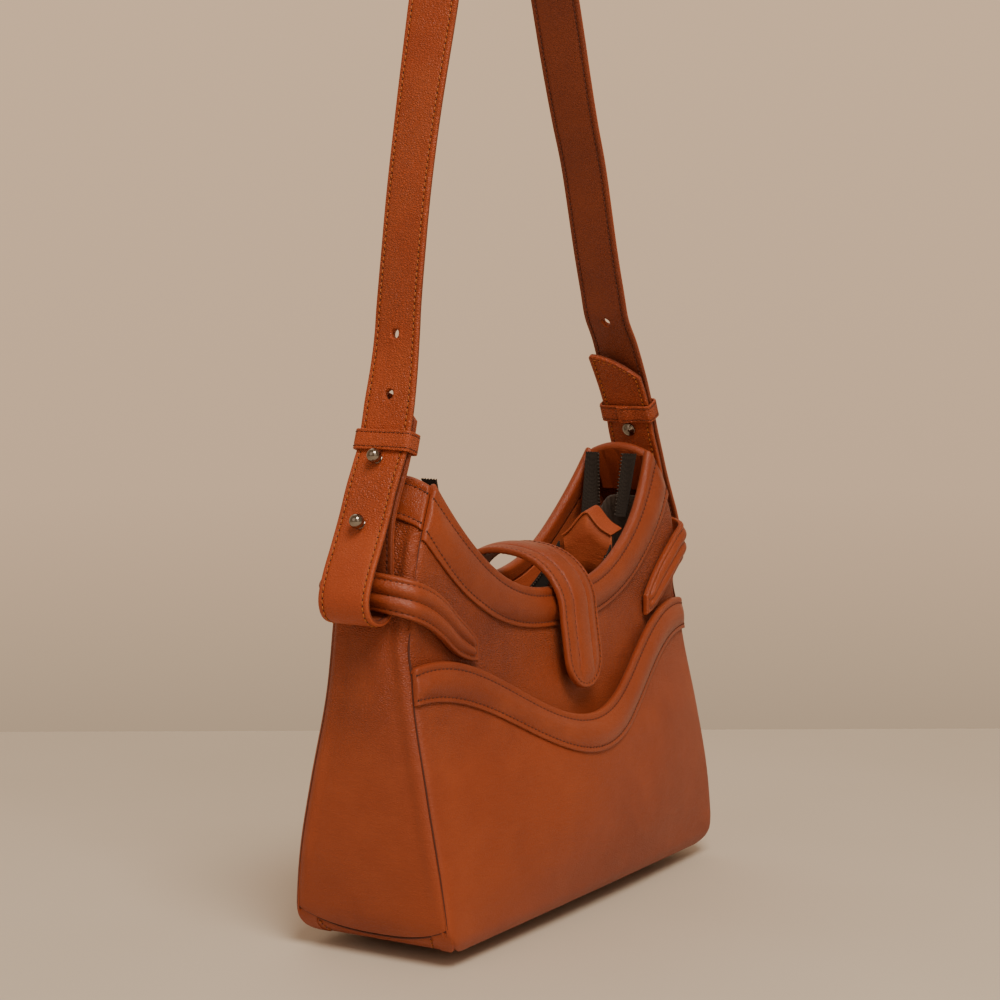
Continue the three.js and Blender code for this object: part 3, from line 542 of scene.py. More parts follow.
def set_stage():
    camera = bpy.data.objects.new("camera", bpy.data.cameras.new("camera"))
    scene.collection.objects.link(camera)
    scene.camera = camera
    camera.location = (-1.20095, -0.73032, 0.38172)
    yaw = math.radians(-58.32)
    camera.rotation_euler = (math.radians(90 - 6.10), math.radians(0.197), yaw)
    camera.data.lens = 89.03
    camera.data.sensor_width = 36
    camera.data.clip_start = 0.05

    heading = Vector((math.sin(-yaw), math.cos(-yaw), 0))
    across = Vector((heading.y, -heading.x, 0))
    far = Vector((camera.location.x, camera.location.y, 0)) + heading * TABLE_FAR
    corners = [far + across * wide - heading * deep for wide, deep in
               ((TABLE_HALF, 0), (-TABLE_HALF, 0), (-TABLE_HALF, TABLE_DEEP), (TABLE_HALF, TABLE_DEEP))]
    table = mesh_object("table_top", [c / MM for c in corners], [[0, 1, 2, 3]], "nickel")
    table.data.materials[0] = table_cloth()

    scene.world = bpy.data.worlds.new("studio")
    sky = Nodes(scene.world, "Background", "Generated")
    height = sky.new("SeparateXYZ", {0: sky.place}).outputs["Z"]
    ramp = sky.new("ValToRGB", {"Fac": sky.remap(height, -0.21, 0.1, 0, 1)})
    ramp.color_ramp.elements[0].color = srgb("b89f83")
    ramp.color_ramp.elements[1].color = srgb("ebc6a1")
    ramp.color_ramp.elements.new(0.35).color = srgb("e0bd9a")
    # The paper backdrop behind the bag is brighter than the rest of the room.
    ahead = sky.new("VectorMath", {0: sky.place, 1: heading}, operation="DOT_PRODUCT").outputs["Value"]
    sky.feed(sky.shader, {"Color": ramp.outputs["Color"], "Strength": sky.remap(ahead, 0.3, 0.93, 0.42, 1)})

    # A large soft light above and beside the camera, a wide weak fill, and a soft light from behind.
    for name, place, size, power, colour in (
            ("key", (-1.1, -1.3, 2.4), 1.4, 68, "fff1de"),
            ("front", (-1.4, -1.9, 1.0), 1.6, 4, "fff1de"),
            ("fill", (-2.2, 0.5, 1.3), 2.0, 5, "ffeedd"),
            ("rim", (0.9, 1.2, 2.3), 1.6, 5, "fff3e6")):
        light = bpy.data.objects.new(name, bpy.data.lights.new(name, "AREA"))
        light.data.shape = "DISK"
        light.data.size = size
        light.data.energy = power
        light.data.color = srgb(colour)[:3]
        light.location = place
        light.rotation_euler = (Vector((0, 0, 0.25)) - Vector(place)).to_track_quat("-Z", "Y").to_euler()
        scene.collection.objects.link(light)


def table_cloth():
    m = Nodes(bpy.data.materials.new("table_cloth"))
    return m.done(m.mix(m.remap(m.noise(3, 3), 0.3, 0.7, 0, 1), srgb("d3cabd"), srgb("cec5b7")), 0.75,
                  m.bump(m.noise(7, 4), 0.004, 0.25))


set_stage()


# ---- walls
def wall_grid(side, depth, inside, edge):
    """A wall's outer surface, from its foot to a little below an edge curve."""
    u = 2 * spread(110, 300) - 1
    b = spread(90, 180, roll=1.2)
    foot, roll_rise = BASE_Z + inside, EDGE_R - inside
    share = 0.14  # of the rows, for the rounding at the foot
    top = edge_height(u, edge) - EDGE_TRIM
    round_part = foot + roll_rise * (1 - np.cos(np.clip(b / share, 0, 1) * math.pi / 2))
    upper = np.clip((b - share) / (1 - share), 0, 1)
    straight = foot + roll_rise + (top[:, None] - foot - roll_rise) * upper
    return on_wall(side, depth, u[:, None], np.where(b[None] <= share, round_part[None], straight))


def panel(name, points, toward, node):
    """A sheet of leather whose side edges roll over and are drawn down into the seams."""
    from_side, from_end = from_ends(points, 0), from_ends(points, 1)
    sink = SEAM_SINK * rolled(from_side, SEAM_REACH) / SEAM_REACH
    drop = sink + np.minimum(rolled(from_side, SEAM_ROLL) + rolled(from_end, 0.9), LEATHER / 2)
    under = sink + np.maximum(LEATHER - rolled(np.minimum(from_side, from_end), 0.9), LEATHER / 2)
    sheet(name, points, toward, -drop, -under, "grain_leather", stands_for=[node])


for word, side, depth, inside, edge, node in (
        ("front", FRONT, front_depth, POCKET_LAYER, mouth_edge, "front_panel"),
        ("back", BACK, back_depth, 0, mouth_edge, "back_panel"),
        ("pocket", FRONT, pocket_depth, 0, pocket_edge, "front_pocket")):
    panel(f"{word}_wall", wall_grid(side, depth, inside, edge), (0, side, 0), node)


def gusset_x(y, z):
    return outline_x(z) + 3 * (1 - (y / seam_depth(z)) ** 2) * smooth(z, BASE_Z, 60)


def gusset_front(z):
    """Where a gusset's front edge is caught: in the pocket low down, and in the wall above it."""
    step = 0.55 * smooth(z, STEP_Z - 12, STEP_Z + 5) * (1 - smooth(z, STEP_Z + 5, STEP_Z + 24))
    return -seam_depth(z, POCKET_LAYER * step + SEAM_LAP)


def gusset_back(z):
    return seam_depth(z, SEAM_LAP)


def gusset_y(share, z):
    """Across a gusset, from its front edge (0) to its back edge (1)."""
    return gusset_front(z) + (gusset_back(z) - gusset_front(z)) * share


def horn_top(y):
    return HORN_Z + HORN_ROUND * (1 - (y / 20) ** 2)


def foot_line(y):
    """Height of a gusset's foot, which is rounded up at its two bottom corners."""
    return GUSSET_FOOT_Z + 1 + 12 * np.abs(y / 50) ** 2.4


FOOT_END_Z = foot_line(44.0)  # where a gusset's foot meets its side seams
CORD_R = 0.62  # radius of the dark cords laid in the seams as painted shade


def gusset(end, name):
    a = spread(44, 70)
    b = spread(90, 240, roll=1.2)
    y_top = gusset_y(a, HORN_Z)
    low = foot_line(y_top * seam_depth(GUSSET_FOOT_Z) / seam_depth(HORN_Z))
    z = low[:, None] + (horn_top(y_top) - EDGE_TRIM - low)[:, None] * b[None]
    y = gusset_y(a[:, None], z)
    wave = 0.5 * np.sin(y / 14 + end) * np.sin(z / 33 + 0.6) * np.sin(math.pi * a)[:, None]
    # The leather stands up in a soft ridge beside each seam, most of all near the top.
    beside = np.minimum(y - gusset_front(z), gusset_back(z) - y)
    ridge = 1.5 * np.exp(-((beside - 5) / 2.5) ** 2) - 0.7 * np.exp(-((beside - 11) / 3) ** 2)
    ridge = ridge * (0.35 + 0.65 * smooth(z, 120, 205)) * (1 - smooth(z, HORN_Z - 26, HORN_Z - 14))
    points = xyz(end * (gusset_x(y, z) + (wave + ridge) * smooth(z, 20, 60)), y, z)
    panel(f"{name}_gusset_wall", points, (end, 0, 0), f"{name}_gusset")


def shade_cord(name, middle, *axes):
    """A thin dark cord along a line, laid down in a seam as painted shade of its shadowed valley."""
    cos, sin = [CORD_R * f(np.linspace(0, math.pi, 7))[:, None] for f in (np.cos, np.sin)]
    halves = [middle[:, None] + cos * axes[0] + turn * sin * axes[1] for turn in (1, -1)]
    place_piece(skin(name, *halves, "seam_edge"), "grain_leather")


# Each side seam gets a dark cord, painted shade in the seam's valley.
def seam_edge(end, side, name):
    z = np.linspace(FOOT_END_Z, HORN_Z - 1, 120)
    caught = -gusset_front(z) if side == FRONT else gusset_back(z)
    shade_cord(name, xyz(end * (outline_x(z) - 1.0), side * (caught - 0.6), z), (end, 0, 0), (0, side, 0))


# The gusset's foot gets the same dark cord, painted shade for the shadow line below it.
def foot_shade_cord(end, name):
    y = np.linspace(-1, 1, 120) * (seam_depth(FOOT_END_Z, SEAM_LAP) - 0.8)
    z = foot_line(y) - 0.7
    shade_cord(name, xyz(end * (outline_x(z) - 1.0), y, z), (end, 0, 0), (0, 0, 1))


# ---- padded bands
STITCH_ROW = 2.7  # distance of the stitch rows from a band's edges
BAND_TUCK = 1.3  # length over which a band's ends turn down into their seams
BAND_BASE = 1.3  # how high a band's leather lies above the wall at its stitch rows


def binding_section(width, inside, leg, pad):
    """Half of a padded binding's cross-section, for one place along it: its outer and its inner line.

    Each line is a list of (distance below the edge, height above the wall). The outer line starts inside
    the bag, goes over the edge and ends at the band's lower edge, and the inner line follows it.
    """
    last = width - STITCH_ROW
    share = np.linspace(0, 1, 23)
    crown = np.sin(math.pi * share) ** 0.8
    lip = np.linspace(0.12, 1, 6)
    upper_lip = BAND_BASE + 0.4 * np.sin(math.pi * np.clip(lip * 0.62 + 0.38, 0, 1))
    lower_lip = BAND_BASE + 0.35 * np.sin(math.pi * np.linspace(0, 0.8, 6))
    angles = np.linspace(0, math.pi, 11)[1:-1]
    top = upper_lip[0]
    radius = (top + inside) / 2
    over_d = lip[0] * STITCH_ROW - 0.75 * radius * np.sin(angles)
    over_n = (top - inside) / 2 + radius * np.cos(angles)
    leg_d = np.linspace(leg, lip[0] * STITCH_ROW, 6)
    leg_n = -inside + 0.35 * (leg_d / leg) ** 3
    outer_d = np.concatenate([leg_d, over_d[::-1], lip[:-1] * STITCH_ROW,
                              STITCH_ROW + (last - STITCH_ROW) * share,
                              last + STITCH_ROW * np.linspace(0, 0.93, 6)[1:], [width]])
    outer_n = np.concatenate([leg_n, over_n[::-1], upper_lip[:-1], BAND_BASE + pad * crown, lower_lip[1:],
                              [BAND_BASE * 0.7]])
    turn = len(leg_d) + len(over_d)
    inner_d = np.concatenate([leg_d, np.full(len(over_d), 1.6), np.maximum(outer_d[turn:], 1.6)])
    inner_n = np.concatenate([leg_n + 0.8, np.linspace(0.8 - inside, 0.3, len(over_d)),
                              np.full(len(outer_d) - turn, 0.3)])
    return xyz(outer_d, outer_n), xyz(inner_d, inner_n)


def binding(name, surface, toward, top, foot, lean, node, inside=4.9, leg=7, pad=2.6):
    """A padded leather strip folded over an edge, with its two rows of stitches.

    surface(z) gives the wall's points for a grid of heights; top and foot are the strip's edges at each
    station, and lean is the share of a vertical step that counts as distance from the edge.
    """
    width = (top - foot) * lean
    count = 40
    ladder = surface(top[:, None] - np.linspace(0, 1, count)[None] * (top - foot)[:, None])
    swell = pad * (0.3 + 0.7 * smooth(from_ends(ladder, 0)[:, count // 2], 0, 9))
    sections = np.array([binding_section(w, inside, leg, p) for w, p in zip(width, swell)])
    out = normals(ladder, toward)
    index = np.arange(len(top))[:, None]

    def placed(pairs):
        d, n = pairs[..., 0], pairs[..., 1]
        rung = np.clip(d / width[:, None], 0, 1) * (count - 1)
        low = np.clip(rung.astype(int), 0, count - 2)
        share = (rung - low)[..., None]
        normal = out[index, low] * (1 - share) + out[index, low + 1] * share
        return surface(top[:, None] - d / lean[:, None]) + normal * n[..., None], normal

    def lowered(drop):
        return placed(np.stack([sections[:, 1, :, 0], np.minimum(sections[:, 1, :, 1], 0) - drop], -1))[0]

    outer, inner = (placed(sections[:, k])[0] for k in (0, 1))
    # Each end is drawn down into the seam it is caught in.
    close = (rolled(from_ends(outer, 0), BAND_TUCK) / BAND_TUCK)[..., None]
    faces = [face + (lowered(drop) - face) * close for face, drop in ((outer, 1), (inner, 1.5))]
    obj = skin(name, *faces, "padded_leather")
    lines = []
    for d in (np.full_like(width, STITCH_ROW), width - STITCH_ROW):
        at, normal = placed(np.stack([d, np.full_like(d, BAND_BASE)], -1)[:, None])
        lines.append(stitch_row(at[3:-3, 0], normal[3:-3, 0], "brown_thread", length=1.9,
                                radius=0.42, hole=0.66))
    place_piece(obj, "padded_leather", stands_for=[node])
    sewn(f"{name}_stitches", lines, "padded_leather")


def wall_binding(name, side, depth, upper, lower, node, **how):
    u = 2 * spread(190, 300, roll=1.6) - 1
    top, foot = edge_height(u, upper), edge_height(u, lower)
    lean = 1 / np.sqrt(1 + np.gradient(top, u * outline_x((top + foot) / 2)) ** 2)
    binding(name, lambda z: on_wall(side, depth, u[:, None], z), (0, side, 0), top, foot, lean, node, **how)


wall_binding("front_mouth_binding", FRONT, front_depth, mouth_edge, mouth_band_edge, "mouth_band_front")
wall_binding("back_mouth_binding", BACK, back_depth, mouth_edge, mouth_band_edge, "mouth_band_back")
wall_binding("pocket_binding", FRONT, pocket_depth, pocket_edge, pocket_band_edge, "pocket_band",
             inside=2.6, leg=2.2, pad=2.9)


def horn_binding(end, name):
    a = spread(40, 45, roll=1.4)

    def surface(z):
        y = gusset_y(a[:, None], z)
        return xyz(end * gusset_x(y, z), y, z)

    top = horn_top(gusset_y(a, HORN_Z))
    binding(f"{name}_horn_strip", surface, (end, 0, 0), top, top - BAND, np.ones_like(top),
            f"{name}_horn_binding", inside=4.2, leg=9, pad=0.9)


for hand, end in HANDS:
    gusset(end, hand)
    foot_shade_cord(end, f"{hand}_foot_shade_cord")
    horn_binding(end, hand)
    for word, side in SIDES:
        seam_edge(end, side, f"{word}_{hand}_seam_edge")


# ---- strips along a line
def curve(points, power=0.5, fine=40):
    """A Catmull-Rom curve through points, as a dense polyline; power 0 spaces it evenly between them."""
    p = np.asarray(points, float)
    first, last = (2 * p[0] - p[1], 2 * p[-1] - p[-2]) if power else (p[0], p[-1])
    q = np.vstack([first, p, last])
    gap = np.maximum(np.linalg.norm(np.diff(q, axis=0), axis=1), 1e-9) ** power
    t = np.linspace(0, 1, fine, endpoint=False)[:, None]
    parts = []
    for i in range(len(p) - 1):
        x0, x1, x2, x3 = q[i:i + 4]
        d0, d1, d2 = gap[i:i + 3]
        m1 = ((x1 - x0) / d0 - (x2 - x0) / (d0 + d1) + (x2 - x1) / d1) * d1
        m2 = ((x2 - x1) / d1 - (x3 - x1) / (d1 + d2) + (x3 - x2) / d2) * d1
        parts.append((2 * t**3 - 3 * t**2 + 1) * x1 + (t**3 - 2 * t**2 + t) * m1
                     + (3 * t**2 - 2 * t**3) * x2 + (t**3 - t**2) * m2)
    return np.concatenate([*parts, p[-1:]])


class Line:
    """A polyline that gives points and directions at distances in mm along it."""

    def __init__(self, points):
        self.points = np.asarray(points, float)
        self.run = along(self.points[None], 1)[0]
        self.length = self.run[-1]

    def at(self, s):
        return sample(s, self.run, self.points)

    def heading(self, s, step=0.6):
        return unit(self.at(np.minimum(s + step, self.length)) - self.at(np.maximum(s - step, 0)))

    def to_end(self, s):
        return np.minimum(s, self.length - s)

    def stations(self, ends, middle):
        """Distances along the line: the given ones from each end, and those between."""
        ends = np.array(ends)
        return np.concatenate([ends, middle, self.length - ends[::-1]])

    def place_of(self, point):
        return self.run[np.argmin(np.linalg.norm(self.points - point, axis=1))]


def across_places(half, inner_marks, count):
    """Fractions of a strip's half width from edge to edge, crowded at the edges and the stitch rows."""
    marks = [half, half - 0.12, half - 0.4, half - 0.9, half - 1.6]
    for mark in inner_marks:
        marks += [mark + 1.1, mark + 0.5, mark, mark - 0.5, mark - 1.1]
    marks += list(np.linspace(0, half - 1.8, count))
    one_side = np.unique(np.round([m for m in marks if m >= 0], 3)) / half
    return np.concatenate([-one_side[::-1], one_side[1:] if one_side[0] == 0 else one_side])


def strip(name, line, s, half, across, out, top, under, fractions, look):
    """A flat closed strip: s are distances along the line, half the half width there, and top(pos, s) and
    under(pos, s) the heights of its two faces at a place across it."""
    pos = fractions[None] * half[:, None]
    base = line.at(s)[:, None] + across * pos[..., None]
    faces = [base + out[:, None] * face(pos, s[:, None])[..., None] for face in (top, under)]
    return skin(name, *faces, look)


def groove(distance, depth=0.35, width=0.9):
    """A shallow furrow that the thread pulls into the leather."""
    return depth * np.exp(-(distance / width) ** 2)


def lip(edge, tall):
    """The soft rise of leather between an edge and its stitch row."""
    return tall * np.sin(math.pi * np.clip(edge / STITCH_ROW, 0, 1)) * (edge < STITCH_ROW)


# ---- side loops
LOOP_THICK = 3.2
LOOP_CLEAR = 3.2  # from the wall's face to the middle of a loop's thickness
loop_tallness = profile([(0, 6), (0.05, 9), (0.12, 11), (0.2, 11.4), (0.35, 10.6), (0.5, 9.9)])
LOOP_ROUTE = [(95, 161), (112, 171.5), (126, 182), (137, 189)]
LOOP_MIDDLE = [(149, -27.5, 194.5), (154.6, -17, 197.5), (155.2, 0, 198.8), (154.6, 17, 197.5),
               (149, 27.5, 194.5)]


def side_loop(end, name):
    def wall_points(side, depth):
        return [(x, side * (float(depth(x / outline_x(z), np.float64(z))) + LOOP_CLEAR), z)
                for x, z in LOOP_ROUTE]

    route = [*wall_points(FRONT, front_depth), *LOOP_MIDDLE, *wall_points(BACK, back_depth)[::-1]]
    line = Line(curve(route) * [end, 1, 1])
    s = line.stations([0, 0.1, 0.4, 0.9, 1.6, 2.3], np.linspace(3, line.length - 3, 150))

    def outward(at):
        heading = line.heading(at)
        return xyz(heading[:, 1], -heading[:, 0], 0) * end

    def tall_at(at):
        return loop_tallness(line.to_end(at) / line.length)

    def top(pos, at):
        tall, from_end = tall_at(at), line.to_end(at)
        edge = np.minimum(tall - np.abs(pos), from_end)
        share = np.clip(np.abs(pos) / (tall - STITCH_ROW), 0, 1)
        ridge = 2.2 * np.sin(math.pi * share) ** 0.8 * smooth(from_end, 2.6, 7)
        return LOOP_THICK / 2 + ridge + lip(edge, 0.3) - rolled(edge, 1.0) * 1.2

    def under(pos, at):
        edge = np.minimum(tall_at(at) - np.abs(pos), line.to_end(at))
        return -LOOP_THICK / 2 + rolled(edge, 0.8) * 0.7

    fractions = across_places(10.5, [10.5 - STITCH_ROW], 13)
    obj = strip(f"{name}_loop", line, s, tall_at(s), UP, unit(outward(s)), top, under, fractions,
                "padded_leather")
    place_piece(obj, "padded_leather", stands_for=[f"{name}_side_loop"])
    # Three rows run along the loop, and a short one closes each end.
    runs = [(share, s[line.to_end(s) > (2.6 if share else 5)]) for share in (-1, 0, 1)]
    runs += [(np.array([-1, 0, 1]), np.full(3, at)) for at in (STITCH_ROW, line.length - STITCH_ROW)]
    rows = []
    for share, at in runs:
        row = line.at(at) + UP * (share * (tall_at(at) - STITCH_ROW))[:, None]
        rows.append(stitch_row(row + outward(at) * LOOP_THICK / 2, outward(at), "brown_thread"))
    sewn(f"{name}_loop_stitches", rows, "padded_leather")


for hand, end in HANDS:
    side_loop(end, hand)

# ---- closure tab
TAB_ROUTE = [(50, 118), (45, 134), (41.4, 149), (39.8, 165), (37.9, 178), (33, 190), (22, 199.5), (7, 204),
             (-9, 203.4), (-22, 199.4), (-32.2, 191.4), (-38.8, 180), (-40.9, 166), (-43, 150), (-46, 127)]
TAB_RIDGE = 7.4
TAB_BEND = ("bag", "tab", (0, 0.0431, 0.1635), (0, 0.0361, 0.1705))


def closure_tab():
    line = Line(curve([(0, y, z) for y, z in TAB_ROUTE]))
    r = TAB_WIDTH / 2
    s = line.stations([0, 0.06, 0.2, 0.5, 1, 1.7, 2.6, 4, 6, 8.5, 11.5, 15],
                      np.linspace(18, line.length - 18, 120))
    to_end = line.to_end(s)
    half = np.where(to_end < r, np.sqrt(np.maximum(r * r - (r - to_end) ** 2, 0.09)), r)

    def outward(at):
        heading = line.heading(at)
        return xyz(0, heading[..., 2], -heading[..., 1])

    def edge_of(pos, at):
        end = line.to_end(at)
        corner = r - np.hypot(pos, np.maximum(r - end, 0))
        return np.where(end < r, corner, r - np.abs(pos))

    def top(pos, at):
        edge = edge_of(pos, at)
        fade = smooth(edge, 3.4, 8)
        share = np.clip(np.abs(pos) / TAB_RIDGE, 0, 1)
        ridge = 1.9 * np.sqrt(np.maximum(0, 1 - share**2.4)) * fade
        side_share = np.clip((np.abs(pos) - TAB_RIDGE) / (r - STITCH_ROW - TAB_RIDGE), 0, 1)
        side_pad = 0.9 * np.sqrt(np.maximum(0, 1 - np.abs(2 * side_share - 1) ** 2.4)) * fade
        return TAB_THICK / 2 + ridge + side_pad + lip(edge, 0.45) - rolled(edge, 1.1) * 1.3

    def under(pos, at):
        return -TAB_THICK / 2 + rolled(edge_of(pos, at), 0.9) * 0.9

    fractions = across_places(r, [r - STITCH_ROW, TAB_RIDGE], 15)
    obj = strip("closing_tab", line, s, half, np.array([1.0, 0, 0]), outward(s), top, under, fractions,
                "padded_leather")
    place_piece(obj, "padded_leather", stands_for=["closure_tab", "tab_root"], bend=TAB_BEND)

    def row(pos, at, face):
        normal = outward(at)
        points = line.at(at) + xyz(pos, 0, 0) + normal * face * TAB_THICK / 2
        return stitch_row(points, normal * face, "brown_thread")

    inner = r - STITCH_ROW
    straight = np.linspace(r, line.length - r, 200)
    turn = np.linspace(0, math.pi, 40)
    side = np.full(200, inner)
    pos = np.concatenate([-side, -inner * np.cos(turn), side, inner * np.cos(turn)])
    at = np.concatenate([straight, line.length - r + inner * np.sin(turn), straight[::-1],
                         r - inner * np.sin(turn)])
    middle = np.linspace(9, line.length - 9, 200)
    rows = [row(pos, at, face) for face in (1, -1)] + [row(sign * TAB_RIDGE, middle, 1) for sign in (-1, 1)]
    sewn("closing_tab_stitches", rows, "padded_leather", bend=TAB_BEND)


closure_tab()

# ---- shoulder strap
FOLD_RUN = [(146.5, 250), (152.8, 236), (160, 222), (167.5, 208), (171.8, 196), (170, 187.6), (164, 183.4),
            (156.4, 183.2), (151.2, 186.8), (149.5, 194), (149.3, 212), (148.2, 232), (142.6, 247)]
UPPER_RUN = {LEFT: [(120.7, 332), (123.4, 316), (127.4, 299), (134, 274.2), (139.6, 263)],
             RIGHT: [(104.6, 332), (114.6, 317.5), (124.9, 298), (135.6, 275), (141, 262)]}
TAIL = {LEFT: [(136, 259.5), (129.8, 274.5), (126.2, 286), (123.2, 296), (121.8, 302)],
        RIGHT: [(136.6, 259.5), (131.6, 273.8), (125.2, 286), (117.8, 297.5), (109.4, 309.5)]}
ARCH = [(-119.2, 345), (-115.2, 370), (-108.4, 408), (-98.4, 451), (-84.6, 503), (-69, 565), (-57.5, 622),
        (-51.5, 664), (-46.5, 693), (-36.5, 708), (-25, 709), (-14, 698), (-8, 676), (4, 635), (24, 575),
        (43.8, 515), (57, 474), (66.5, 447), (77, 420), (90.4, 374), (99, 348)]
KEEPER_POINT = 3  # the keeper sits at this point of the upper run
STUD_STEPS = (10, 46.3)  # studs, in mm below the keeper
HOLE_STEPS = {LEFT: (25.6, 57.9), RIGHT: (29.5, 63)}  # free holes, in mm above the keeper
TWIST = profile([(20, 0), (60, 9), (160, 9), (235, 0)])  # the strap's turn in degrees, by mm above its keeper
TAIL_CUT = 17  # how much shorter the front edge of a tail is than its back edge
TAIL_RUN_OUT = 42  # length of tail over which its slanting end is made up
STRAP_BEND = ("bag", "strap", (0, 0, 0.308), (0, 0, 0.392))
STRAP_ROW = 2.9
HOLE_R = 2.9


def strap_line():
    def half(end):
        return [(end * x, 0, z) for x, z in UPPER_RUN[end] + FOLD_RUN + TAIL[end]]

    return Line(curve([*half(LEFT)[::-1], *[(x, 0, z) for x, z in ARCH], *half(RIGHT)], power=0))


STRAP = strap_line()


def strap_frame(s):
    """Points of the strap's middle line, and directions out of its outer face, at distances along it."""
    heading = STRAP.heading(s)
    return STRAP.at(s), xyz(-heading[..., 2], 0, heading[..., 0])


def twisted(s):
    """The strap's middle line, outward direction and direction across, with the slight turn of its runs."""
    middle, out = strap_frame(s)
    angle = TWIST(s - strap_place(LEFT, 0)) - 0.6 * TWIST(strap_place(RIGHT, 0) - s)
    turn = np.radians(angle)[..., None]
    across = np.broadcast_to([0.0, 1, 0], out.shape)
    return middle, out * np.cos(turn) + across * np.sin(turn), across * np.cos(turn) - out * np.sin(turn)


def strap_place(end, below):
    """Distance along the strap of a point so far below the keeper, on the outer run."""
    x, z = UPPER_RUN[end][KEEPER_POINT]
    return STRAP.place_of(np.array([end * x, 0, z])) + end * below


def tail_cut(pos, half):
    """How far short of its full length a tail ends, at a place across it: its back edge is the longest."""
    share = np.clip((half - pos) / (2 * half), 0, 1)
    corner = np.clip((pos - half + 2.5) / 2.5, 0, 1)
    return TAIL_CUT * share**1.9 + 2.5 * (1 - np.sqrt(1 - 0.98 * corner**2))


def shoulder_strap():
    half = STRAP_WIDTH / 2
    s = STRAP.stations([0, 0.06, 0.2, 0.5, 1, 1.7, 2.6, 4, 6, 8.5], np.arange(11, STRAP.length - 11, 2.0))
    fractions = across_places(half, [half - STRAP_ROW], 12)
    holes = [strap_place(end, -step) for end in (LEFT, RIGHT) for step in HOLE_STEPS[end]]

    def slanted(at, pos):
        short = tail_cut(pos, half)
        return (at + short * np.clip(1 - at / TAIL_RUN_OUT, 0, 1)
                - short * np.clip(1 - (STRAP.length - at) / TAIL_RUN_OUT, 0, 1))

    pos = np.broadcast_to(fractions[None] * half, (len(s), len(fractions)))
    at = slanted(s[:, None] + 0 * pos, pos)
    lean = math.cos(math.atan(TAIL_CUT / half / 2))
    edge = np.minimum(half - np.abs(pos), STRAP.to_end(s)[:, None] * lean)
    face = STRAP_THICK / 2 + 0.25 * (1 - fractions**2) - groove(edge - STRAP_ROW)
    for hole in holes:
        away = np.hypot(pos, at - hole)
        face = face + 0.4 * np.exp(-((away - HOLE_R - 0.9) / 0.8) ** 2)
        face = face + (0.16 * np.cos(9 * np.arctan2(at - hole, pos + 1e-6))
                       * np.exp(-((away - 6.2) / 2.6) ** 2))
    face = (face - rolled(edge, 0.9) * 0.75) * np.where(edge < 0.02, 0.0, 1.0)
    middle, out, across = twisted(at)
    base, rise = middle + across * pos[..., None], out * face[..., None]
    # The inner face takes the darker copy of the strap leather, as painted shade.
    obj = skin("shoulder_strap", base + rise, base - rise, "strap_leather", inner_look="strap_inner_shade")
    cut_holes(obj, [twisted(np.float64(hole))[:2] for hole in holes])
    place_piece(obj, "strap_leather", stands_for=["strap_arch", "strap_left_end", "strap_right_end"],
                bend=STRAP_BEND)

    row = half - STRAP_ROW
    straight = np.arange(STRAP_ROW, STRAP.length - STRAP_ROW, 1.0)
    over = np.linspace(-row, row, 40)
    pos = np.concatenate([0 * straight - row, over, 0 * straight + row, over[::-1]])
    at = np.concatenate([straight, 0 * over + STRAP.length - STRAP_ROW, straight[::-1],
                         0 * over + STRAP_ROW])
    middle, out, across = twisted(slanted(at, pos))
    rows = []
    for side, look in ((1, "gold_thread"), (-1, "brown_thread")):
        points = middle + across * pos[:, None] + out * side * (STRAP_THICK / 2 - 0.1)
        rows.append(stitch_row(points, out * side, look, pitch=3.4, length=2.3, radius=0.36, lift=0.22,
                               hole=0.42))
    sewn("strap_stitches", rows, "strap_leather", bend=STRAP_BEND)


def cut_holes(obj, places):
    """Punches round holes through a strip."""
    verts, faces, count = [], [], 20
    for centre, out in places:
        across = np.array([0.0, 1, 0])
        other = np.cross(out, across)
        faces += tube_faces(2, count, len(verts))
        for height in (-6, 6):
            for angle in circle(count):
                spoke = across * math.cos(angle) + other * math.sin(angle)
                verts.append(centre + out * height + HOLE_R * spoke)
    punch = mesh_object("punch", verts, faces, "edge_paint")
    tidy(punch)
    cut = obj.modifiers.new("holes", "BOOLEAN")
    cut.operation = "DIFFERENCE"
    cut.solver = "EXACT"
    cut.object = punch
    bpy.context.view_layer.update()
    solid = bpy.data.meshes.new_from_object(obj.evaluated_get(bpy.context.evaluated_depsgraph_get()))
    obj.modifiers.clear()
    obj.data = solid
    bpy.data.objects.remove(punch)


shoulder_strap()


# ---- base
BASE_THICK = 1.6
UPTURN = 4  # how far the base's ends go on upwards past their roll, behind the gussets


def base():
    """The base panel; its turned-up ends show below the gussets and tuck behind them."""
    b = spread(170, 380, roll=1.0)
    a = spread(34, 90, roll=1.0)
    quarter = CORNER_R * math.pi / 2
    share = 0.17  # of the rows, for each turned-up end
    rise = np.clip(1 - np.minimum(b, 1 - b) / share, 0, 1) * (quarter + UPTURN)
    angle = np.minimum(rise, quarter) / CORNER_R
    z = BASE_Z + CORNER_R * (1 - np.cos(angle)) + np.maximum(rise - quarter, 0)
    flat = half_width(BASE_Z) - CORNER_R
    turned_x = np.sign(b - 0.5) * (half_width(z) - CORNER_R + CORNER_R * np.sin(angle))
    x = np.where(rise > 0, turned_x, (b - 0.5) / (0.5 - share) * flat)[:, None]
    z = z[:, None]
    y = gusset_y(a[None], z)
    tuck = 0.3 + 3.0 * smooth(z, foot_line(y) - 4.5, foot_line(y) + 0.8)
    sheet("base_leather", xyz(x, y, z), xyz(x / 60, 0, -1.0), -tuck, -(tuck + BASE_THICK), "grain_leather",
          stands_for=["base_panel"])


FLAP = 12.5  # width of the corner where a wall's leather laps on to the gusset's side


